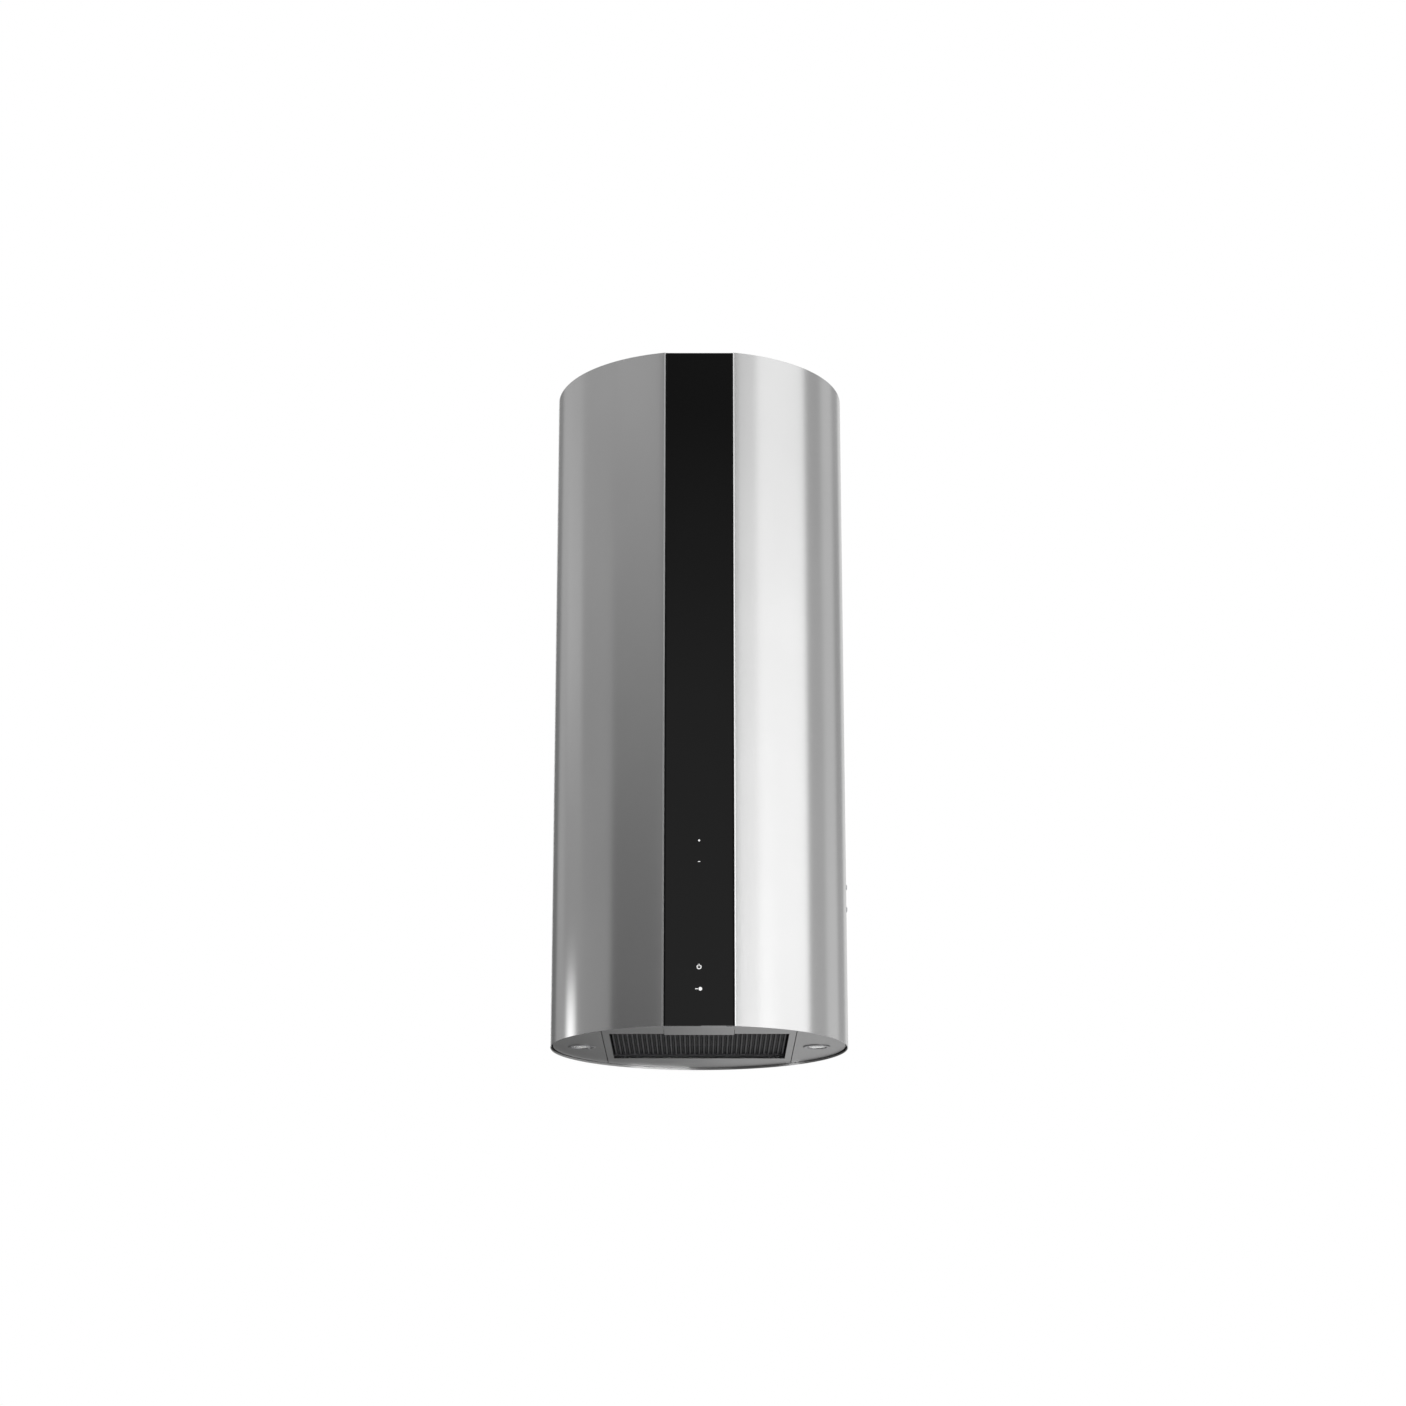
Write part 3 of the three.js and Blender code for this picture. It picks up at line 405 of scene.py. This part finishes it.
def tube_outline():
    inner_r = TUBE_R - SHEET
    outer_edge = math.atan2(FACET_Y, OPENING_HALF)
    inner_edge = math.atan2(-math.sqrt(inner_r ** 2 - OPENING_HALF ** 2), OPENING_HALF)
    return_half = OPENING_HALF - SHEET
    ledge_front = GLASS_HIGH.y + GLASS_GAP
    ledge_back = ledge_front + SHEET
    edge_back = FACET_Y + EDGE_THICK
    right = [
        (OPENING_HALF, ledge_back), (LEDGE_HALF, ledge_back), (LEDGE_HALF, ledge_front),
        (return_half, ledge_front), (return_half, edge_back), (OPENING_HALF, edge_back),
    ]
    left = [(-x, y) for x, y in reversed(right)]
    outer = arc(TUBE_R, outer_edge, math.pi - outer_edge, 256)
    inner = arc(inner_r, math.pi - inner_edge, inner_edge, 256)
    return [*outer, *left, *inner, *right]


def build_tube():
    bm = bmesh.new()
    top = TUBE_HIGH.z
    extrude(bm, tube_outline(), lambda x, y: (x, y, RIM_Z), lambda x, y: (x, y, top))
    piece = new_piece("tube_shell", bm, "tube", "hood_body", ["outer_tube"])
    soften(piece, 0.45 * MM, 3)


def build_seam():
    """The ground weld down the tube's back."""
    half, proud = 0.6 * MM, 0.05 * MM
    sunk = TUBE_R - proud
    outline = [(-half, sunk), (half, sunk), (half, TUBE_R), (0, TUBE_R + proud), (-half, TUBE_R)]
    bm = bmesh.new()
    low, high = RIM_Z + 0.5 * MM, TUBE_HIGH.z - 0.5 * MM
    extrude(bm, outline, lambda x, y: (x, y, low), lambda x, y: (x, y, high))
    soften(new_piece("weld_seam", bm, "plate", "hood_body"), 0)


def build_edge_strips():
    """Edges of the opening, between the tube's face and the glass, turned to catch reflections; their
    steel is a lighter copy of the tube's, a painted highlight line.
    """
    top = TUBE_HIGH.z
    outer_x = OPENING_HALF - 0.03 * MM
    inner_x = GLASS_HIGH.x + 0.15 * MM
    front = lambda x: FACET_Y - (OPENING_HALF - x) * math.tan(radians(EDGE_TURN))
    back = FACET_Y + EDGE_THICK - 0.05 * MM
    for side, sign in (("right", 1), ("left", -1)):
        corners = [(inner_x, front(inner_x)), (outer_x, front(outer_x)), (outer_x, back), (inner_x, back)]
        outline = [(sign * x, y) for x, y in corners]
        bm = bmesh.new()
        extrude(bm, outline, lambda x, y: (x, y, RIM_Z), lambda x, y: (x, y, top))
        piece = new_piece(f"edge_strip_{side}", bm, "edge", "hood_body")
        soften(piece, 0.12 * MM)


def build_glass():
    bm = bmesh.new()
    corner = 0.8 * MM
    low, high = GLASS_LOW, GLASS_HIGH
    outline = [
        (low.x, high.y), (low.x, low.y + corner), (low.x + corner, low.y),
        (high.x - corner, low.y), (high.x, low.y + corner), (high.x, high.y),
    ]
    extrude(bm, outline, lambda x, y: (x, y, low.z), lambda x, y: (x, y, high.z))
    piece = new_piece("glass_strip", bm, "glass", "hood_body", ["front_glass"])
    soften(piece, 0.25 * MM)
    width = 1.5 * MM
    for side, sign in (("right", 1), ("left", -1)):
        bm = bmesh.new()
        edges = [(high.x - corner - width, low.y - PRINT_THICK), (high.x - corner, low.y - PRINT_THICK)]
        outline = [*edges, (high.x, low.y + corner), (high.x - corner - width, low.y + PRINT_THICK)]
        outline = [(sign * x, y) for x, y in outline]
        extrude(bm, outline, lambda x, y: (x, y, low.z), lambda x, y: (x, y, high.z))
        new_piece(f"glass_border_{side}", bm, "border", "hood_body")


# ---- touch marks, printed on the glass ----

PRINT_Y = FACET_Y - PRINT_THICK


def print_shape(bm, outline, height):
    """A flat mark on the glass, drawn in millimetres about a point that far above the tube's rim."""
    z = RIM_Z + height * MM
    extrude(
        bm, outline,
        lambda u, v: (u * MM, PRINT_Y, z + v * MM),
        lambda u, v: (u * MM, PRINT_Y + PRINT_THICK / 2, z + v * MM),
    )


def bar_outline(width, height, u=0.0, v=0.0):
    w, h = width / 2, height / 2
    return [(u - w, v - h), (u + w, v - h), (u + w, v + h), (u - w, v + h)]


def disc_outline(radius, u):
    return [(u + x, y) for x, y in arc(radius, 0, 2 * math.pi, 32)[:-1]]


def open_ring_outline(radius, width, gap):
    """A ring that is open at the top by gap degrees on either side."""
    start, end = radians(90 + gap), radians(450 - gap)
    return [*arc(radius + width / 2, start, end, 32), *arc(radius - width / 2, end, start, 32)]


def build_marks():
    """Each mark's height above the tube's rim, and its outlines, in millimetres."""
    plus = [bar_outline(2.8, 1.0), bar_outline(1.0, 1.0, 0, 1.0), bar_outline(1.0, 1.0, 0, -1.0)]
    marks = {
        "mark_lamp": (47, [disc_outline(2.3, 1.6), bar_outline(3.4, 1.0, -3.2)]),
        "mark_power": (74.8, [open_ring_outline(2.5, 1.15, 36), bar_outline(1.1, 3.2, 0, 2.2)]),
        "mark_less": (209.6, [bar_outline(2.8, 0.9)]),
        "mark_more": (237, plus),
    }
    for name, (height, outlines) in marks.items():
        bm = bmesh.new()
        for outline in outlines:
            print_shape(bm, outline, height)
        new_piece(name, bm, "print", "hood_body")


# ---- small fixings ----

def hexagon_ring(across, height, place, bm, sides):
    """A ring of points on a hexagon, so that a round head can meet a hexagonal socket."""
    points = []
    for i in range(sides):
        angle = 2 * math.pi * i / sides
        reach = across / 2 / math.cos((angle % radians(60)) - radians(30))
        points.append(bm.verts.new(place(reach * math.cos(angle), reach * math.sin(angle), height)))
    return points


def socket_screw(name, place, radius, height, replaced=()):
    """A domed screw head with a hexagonal socket. place turns (x, y, height) into a point."""
    sides = 48
    bm = bmesh.new()
    rings = []
    dome = [(1.0, 0.0), (1.0, 0.35), (0.93, 0.62), (0.8, 0.82), (0.64, 0.95), (0.56, 1.0)]
    for r, h in dome:
        around = arc(radius * r, 0, 2 * math.pi, sides)[:-1]
        rings.append([bm.verts.new(place(x, y, height * h)) for x, y in around])
    rings.append(hexagon_ring(radius * 0.62, height * 0.97, place, bm, sides))
    rings.append(hexagon_ring(radius * 0.6, height * 0.3, place, bm, sides))
    for low, high in zip(rings, rings[1:]):
        for i in range(sides):
            j = (i + 1) % sides
            bm.faces.new((low[i], low[j], high[j], high[i]))
    bm.faces.new(rings[-1])
    bm.faces.new(list(reversed(rings[0])))
    soften(new_piece(name, bm, "spring", "hood_body", replaced), 0)


def build_tube_screws():
    for name, low, high in (
        ("upper", SCREW_LOW, SCREW_HIGH), ("lower", LOW_SCREW_LOW, LOW_SCREW_HIGH),
    ):
        middle = (low + high) / 2
        face = TUBE_R + 0.1 * MM
        head = high.x - face
        socket_screw(
            f"fixing_screw_{name}",
            lambda x, y, h: (face + h, middle.y + x, middle.z + y),
            (high.y - low.y) / 2, head, [f"tube_screw_{name}"],
        )


def build_ceiling_screws():
    """Countersunk screws, flush with the plate's top face, that hold the posts' feet."""
    foot_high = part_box("post_upper_rear_right")[1]
    foot_inset, head_radius, head_height = 12 * MM, 4 * MM, 0.8 * MM
    seat = PLATE_HIGH.z - head_height - 0.05 * MM
    foot = foot_high.x - foot_inset
    for side_x, x in (("left", -foot), ("right", foot)):
        for side_y, y in (("front", -foot), ("rear", foot)):
            socket_screw(
                f"plate_screw_{side_y}_{side_x}",
                lambda u, v, h: (x + u, y + v, seat + h),
                head_radius, head_height,
            )


# ---- lamps ----

def build_lamp(side, sign):
    """A steel ring with a frosted glass, over a reflector with a lit diode. Outlines in millimetres."""
    x = sign * LAMP_X
    place = lambda u, v, h: (x + u, v, UNDERSIDE_Z + h)
    face = (BEZEL_HIGH.x - BEZEL_LOW.x) / 2 / MM
    flange = (LENS_HIGH.x - LENS_LOW.x) / 2 / MM
    sleeve = face - 2.6
    bore = flange + 0.4
    lens = flange - 1.2

    def turned(name, outline, look, replaced=(), closed=False):
        bm = bmesh.new()
        lathe(bm, [(r * MM, h * MM) for r, h in outline], place, 96, closed)
        soften(new_piece(f"{name}_{side}", bm, look, "hood_body", replaced), 0)

    turned("lamp_ring", [
        (lens + 0.4, 3), (lens + 0.4, -0.7), (lens + 0.6, -1.05), (lens + 1.0, -1.25),
        (face - 1.0, -1.25), (face - 0.4, -1.1), (face, -0.75), (face, -0.3),
        (sleeve, -0.3), (sleeve, 17), (bore, 17), (bore, 3),
    ], "bezel", [f"lamp_bezel_{side}"], closed=True)
    turned("lamp_glass", [
        (0, -0.8), (lens * 0.82, -0.75), (lens * 0.96, -0.5), (lens, 0), (lens, 3.3), (flange, 3.3),
        (flange, 4.4), (0, 4.4),
    ], "lens", [f"lamp_lens_{side}"])
    turned("lamp_reflector", [
        (flange - 0.3, 4.8), (flange * 0.92, 5.8), (flange * 0.72, 10), (flange * 0.5, 13.6),
        (flange * 0.36, 15.4), (flange * 0.36, 16.1), (flange * 0.54, 14.4), (flange * 0.78, 10.6),
        (flange - 0.1, 5.6),
    ], "mirror", closed=True)
    turned("lamp_led", [
        (0, 14.6), (2, 14.7), (3.4, 15.2), (4.2, 16.1), (0, 16.1),
    ], "led")


# ---- filter ----

def join_rings(bm, rings):
    """A closed skin over rings of the same number of points."""
    for low, high in zip(rings, rings[1:]):
        for i in range(len(low)):
            j = (i + 1) % len(low)
            bm.faces.new((low[i], low[j], high[j], high[i]))
    bm.faces.new(rings[0])
    bm.faces.new(list(reversed(rings[-1])))


def ribbon(bm, points, half_width, half_height, side):
    """A band of rectangular section along a line of points; side is the direction of its width."""
    rings = []
    for point in points:
        rings.append([
            bm.verts.new(point + side * (half_width * a) + Vector((0, 0, half_height * b)))
            for a, b in ((-1, -1), (1, -1), (1, 1), (-1, 1))
        ])
    join_rings(bm, rings)


def expanded_layer(name, pitch_x, columns, lean, middle_z, half_width, look, replaced=()):
    """Strands that zigzag along Y in mirrored pairs, one pair to a column."""
    pitch_y = 3.4 * MM
    rows = int((MESH_HIGH.y - MESH_LOW.y - 2 * MM) / pitch_y)
    bm = bmesh.new()
    for column in range(columns):
        x = (column - (columns - 1) / 2) * pitch_x
        for mirror in (1, -1):
            points = []
            for row in range(rows + 1):
                swing = mirror * lean * (1 if row % 2 else -1)
                y = (row - rows / 2) * pitch_y
                points.append(Vector((x + swing, y, middle_z + mirror * 0.3 * MM)))
            ribbon(bm, points, half_width, 0.28 * MM, Vector((1, 0, 0)))
    new_piece(name, bm, look, "filter_door", replaced)


def build_filter_mesh():
    """Expanded aluminium: a flat layer over the ribs, and pleats that reach down between them in the dark
    filter finish, a painted shade for the gaps between the ribs.
    """
    pitch = 5.2 * MM
    columns = int((MESH_HIGH.x - MESH_LOW.x - 2 * MM) / pitch) + 1
    middle_z = (MESH_LOW.z + MESH_HIGH.z) / 2
    expanded_layer("expanded_mesh", pitch, columns, pitch / 4, middle_z, 0.6 * MM, "mesh", ["filter_mesh"])
    pleat_z = GRILLE_LOW.z + 2 * MM
    # painted shade: the pleats are a darker copy of the mesh, so the gaps between the ribs read as shaded
    expanded_layer("mesh_pleats", RIB_PITCH, RIB_GAPS, 1.15 * MM, pleat_z, 0.6 * MM, "filter")


# ---- fan and latch spring ----

def build_impeller():
    """The impeller with its full set of forward-curved blades, drawn about its own axis."""
    axis = (IMPELLER_LOW + IMPELLER_HIGH) / 2
    radius = (IMPELLER_HIGH.z - IMPELLER_LOW.z) / 2
    half = (IMPELLER_HIGH.x - IMPELLER_LOW.x) / 2
    hub, bore, ring_in = 11 * MM, 4.3 * MM, 64 * MM
    hub_left, hub_right = -6 * MM, 12 * MM
    web_half, web_r = 1 * MM, 63 * MM
    ring_wide = 2.5 * MM
    place = lambda u, v, h: (h, axis.y + u, axis.z + v)
    bm = bmesh.new()
    for x0, x1 in ((-half, -half + ring_wide), (half - ring_wide, half)):
        lathe(bm, [(ring_in, x0), (radius, x0), (radius, x1), (ring_in, x1)], place, 96, closed=True)
    lathe(bm, [
        (bore, hub_left), (hub, hub_left), (hub, -web_half), (web_r, -web_half),
        (web_r, web_half), (hub, web_half), (hub, hub_right), (bore, hub_right),
    ], place, 72, closed=True)
    blades, steps = 40, 5
    inner, outer = 57.5 * MM, radius - 0.6 * MM
    half_thick = 0.45 * MM
    sweep = radians(9)
    for blade in range(blades):
        turn = 2 * math.pi * blade / blades
        line = []
        for i in range(steps + 1):
            r = inner + (outer - inner) * i / steps
            line.append((r, turn + sweep * (i / steps) ** 1.6))
        outline = []
        for side, points in ((-1, line), (1, list(reversed(line)))):
            for r, a in points:
                angle = a + side * half_thick / r
                outline.append((r * math.cos(angle), r * math.sin(angle)))
        extrude(bm, outline, lambda u, v: place(u, v, -half), lambda u, v: place(u, v, half))
    piece = new_piece("fan_wheel", bm, "black", "fan", ["impeller"])
    soften(piece, 0)


def build_latch_coil():
    """The latch's spring, a coil of one fixed length that goes with the door."""
    wire = 0.45 * MM
    coils, steps, sides = 8, 28, 8
    middle = (SPRING_LOW + SPRING_HIGH) / 2
    radius = (SPRING_HIGH.x - SPRING_LOW.x) / 2 - wire
    length = SPRING_HIGH.y - SPRING_LOW.y
    bm = bmesh.new()
    rings = []
    for i in range(coils * steps + 1):
        angle = 2 * math.pi * i / steps
        outward = Vector((math.cos(angle), 0, math.sin(angle)))
        y = SPRING_LOW.y + wire + (length - 2 * wire) * i / (coils * steps)
        centre = Vector((middle.x, y, middle.z)) + outward * radius
        section = arc(wire, 0, 2 * math.pi, sides)[:-1]
        rings.append([bm.verts.new(centre + outward * u + Vector((0, v, 0))) for u, v in section])
    join_rings(bm, rings)
    piece = new_piece("latch_coil", bm, "spring", "filter_door", ["latch_spring"])
    soften(piece, 0)
    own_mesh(piece)


# ---- carried-over CAD nodes ----

def dress_nodes():
    """Every CAD node gets its slot's finish. Nodes in view get soft edges, wider on the folded door."""
    folded, cut = 0.5 * MM, 0.25 * MM
    looks = {row["node"]: SLOT_LOOKS[row["material_slot"]] for row in frame["record"]["subparts"]}
    for name, node in frame["nodes"].items():
        node.data.materials.clear()
        node.data.materials.append(LOOKS[looks[name]])
        if not node.hide_render:
            soften(node, folded if name == "filter_panel" else cut)


# ---- camera, light and stage ----

CAMERA_PLACE = Vector((0.0049, -3.634, -1.449))
CAMERA_TILT = 14.52  # degrees above the horizon
TENT_R = 4.2

# Heights where a card's glow is set, and the glow there of the cards that need heights of their own.
WALL = (-1.1, -0.2, 0.65, 1.5, 3.6)
BASE = (-1.9, -1.1)
RIM_HEIGHTS = (-1.1, -0.1, 0.3, 0.55, 0.75, 1.0, 1.5, 3.6)
RIM_TONES = (0.42, 0.34, 0.35, 0.5, 0.66, 0.62, 0.54, 0.5)
LOW_KEY_HEIGHTS = (-1.9, -1.5, -1.35, -1.1)
LOW_KEY_TONES = (6, 5.5, 0.8, 0.8)
NEAR_HEIGHTS = (-1.2, -0.86, -0.8, -0.76, -0.72)
NEAR_TONES = (2.2, 2.1, 1.5, 0.5, 0.36)


def build_camera():
    data = bpy.data.cameras.new("camera")
    data.sensor_width = 36
    data.lens = 71.42
    data.shift_y = 0.04
    camera = bpy.data.objects.new("camera", data)
    camera.location = CAMERA_PLACE
    camera.rotation_euler = (radians(90 + CAMERA_TILT), 0, 0)
    scene.collection.objects.link(camera)
    scene.camera = camera


def card(name, bm):
    """A glowing card of the light tent, seen only in reflections. Its glow is set at each corner."""
    material = bpy.data.materials.new(name)
    material.use_nodes = True
    nodes, links = material.node_tree.nodes, material.node_tree.links
    nodes.clear()
    level = nodes.new("ShaderNodeAttribute")
    level.attribute_name = "glow"
    emission = nodes.new("ShaderNodeEmission")
    output = nodes.new("ShaderNodeOutputMaterial")
    links.new(level.outputs["Fac"], emission.inputs["Strength"])
    links.new(emission.outputs["Emission"], output.inputs["Surface"])
    mesh = bpy.data.meshes.new(name)
    bm.to_mesh(mesh)
    bm.free()
    mesh.materials.append(material)
    piece = bpy.data.objects.new(name, mesh)
    scene.collection.objects.link(piece)
    piece.visible_camera = False
    piece.visible_diffuse = False
    piece.visible_shadow = False
    piece.visible_transmission = False


def tent_panel(name, start, end, tones, heights):
    """A curved upright card between two azimuths. tones are its glow at each height."""
    steps = max(2, int((end - start) / 3))
    bm = bmesh.new()
    glow = bm.verts.layers.float.new("glow")
    rows = []
    for height, tone in zip(heights, tones):
        row = []
        for i in range(steps + 1):
            azimuth = radians(start + (end - start) * i / steps)
            vert = bm.verts.new((TENT_R * math.sin(azimuth), -TENT_R * math.cos(azimuth), height))
            vert[glow] = tone
            row.append(vert)
        rows.append(row)
    for low, high in zip(rows, rows[1:]):
        for i in range(steps):
            bm.faces.new((low[i], low[i + 1], high[i + 1], high[i]))
    card(name, bm)


def near_card(name, place, width):
    """A low upright card close to the tube that faces its axis and fades towards its sides."""
    along = Vector((-place.y, place.x, 0)).normalized() * (width / 2)
    bm = bmesh.new()
    glow = bm.verts.layers.float.new("glow")
    rows = []
    for height, tone in zip(NEAR_HEIGHTS, NEAR_TONES):
        row = []
        for across, share in ((-1, 0), (-0.55, 0.8), (0, 1), (0.55, 0.8), (1, 0)):
            vert = bm.verts.new(place + along * across + Vector((0, 0, height)))
            vert[glow] = NEAR_TONES[-1] + (tone - NEAR_TONES[-1]) * share
            row.append(vert)
        rows.append(row)
    for low, high in zip(rows, rows[1:]):
        for i in range(len(low) - 1):
            bm.faces.new((low[i], low[i + 1], high[i + 1], high[i]))
    card(name, bm)


def floor_card(name, half, lift, left, right):
    """A flat square card that far above the tent's base, whose glow changes from left to right."""
    bm = bmesh.new()
    glow = bm.verts.layers.float.new("glow")
    columns = []
    for share, tone in ((-1, left), (-0.1, left), (0.1, right), (1, right)):
        column = [bm.verts.new((half * share, y, BASE[0] + lift)) for y in (-half, half)]
        for vert in column:
            vert[glow] = tone
        columns.append(column)
    for near, far in zip(columns, columns[1:]):
        bm.faces.new((near[0], far[0], far[1], near[1]))
    card(name, bm)


def build_tent():
    """Cards of the wall: name, azimuths of the two sides, and the glow at each height of WALL."""
    cards = [
        ("card_front", -28, 28, (0.42, 0.345, 0.275, 0.06, 0.04)),
        ("card_key_edge", 28, 46, (1.0, 1.3, 1.34, 0.78, 0.62)),
        ("card_key", 46, 92, (1.52, 1.52, 1.52, 1.2, 1.15)),
        ("card_right_gap", 92, 114, (0.54, 0.52, 0.54, 0.46, 0.46)),
        ("card_right_rear", 114, 134, (0.8, 0.76, 0.66, 0.7, 0.6)),
        ("card_back_gap", 134, 152, (0.5, 0.47, 0.37, 0.43, 0.43)),
        ("card_back", 152, 168, (0.9, 0.8, 0.8, 0.85, 0.8)),
        ("card_back_middle", 168, 180, (0.5, 0.46, 0.44, 0.5, 0.42)),
        ("card_back_turn", 180, 196, (1.35, 1.3, 1.3, 1.2, 1.1)),
        ("card_back_left", 196, 216, (0.17, 0.18, 0.2, 0.28, 0.34)),
        ("card_left_rear", 216, 232, (0.4, 0.42, 0.5, 0.55, 0.5)),
        ("card_left_wall", 255, 290, (0.38, 0.38, 0.36, 0.48, 0.5)),
        ("card_left", 290, 332, (0.12, 0.14, 0.26, 0.52, 0.55)),
    ]
    for name, start, end, tones in cards:
        tent_panel(name, start, end, tones, WALL)
    tent_panel("card_low_left", 180, 332, (0.09, 0.11), BASE)
    tent_panel("card_low_front", -28, 8, (0.3, 0.4), BASE)
    tent_panel("card_low_key", 8, 58, LOW_KEY_TONES, LOW_KEY_HEIGHTS)
    tent_panel("card_low_right", 58, 180, (0.64, 0.68), BASE)
    tent_panel("card_left_rim", 232, 255, RIM_TONES, RIM_HEIGHTS)
    near_card("card_near", Vector((-0.476, 0.058, 0)), 128 * MM)
    floor_card("card_floor", TENT_R, 0, 0.12, 0.48)
    floor_card("card_floor_middle", 1.0, 10 * MM, 0.45, 0.55)


def build_light():
    world = bpy.data.worlds.new("pale_room")
    world.use_nodes = True
    background = world.node_tree.nodes["Background"]
    background.inputs["Color"].default_value = (1, 1, 1, 1)
    background.inputs["Strength"].default_value = 1.0
    scene.world = world
    data = bpy.data.lights.new("soft_light", "AREA")
    data.shape = "RECTANGLE"
    data.size = 2.5
    data.size_y = 2.5
    data.energy = 60
    light = bpy.data.objects.new("soft_light", data)
    light.location = (2.6, -2.2, 2.4)
    aim = Vector((0, 0, -0.6)) - light.location
    light.rotation_euler = aim.to_track_quat("-Z", "Y").to_euler()
    light.visible_glossy = False
    scene.collection.objects.link(light)


build_camera()
build_tube()
build_seam()
build_edge_strips()
build_glass()
build_marks()
build_tube_screws()
build_ceiling_screws()
for side, sign in (("right", 1), ("left", -1)):
    build_lamp(side, sign)
build_filter_mesh()
build_impeller()
build_latch_coil()
dress_nodes()
build_tent()
build_light()
scene.view_settings.view_transform = "Standard"
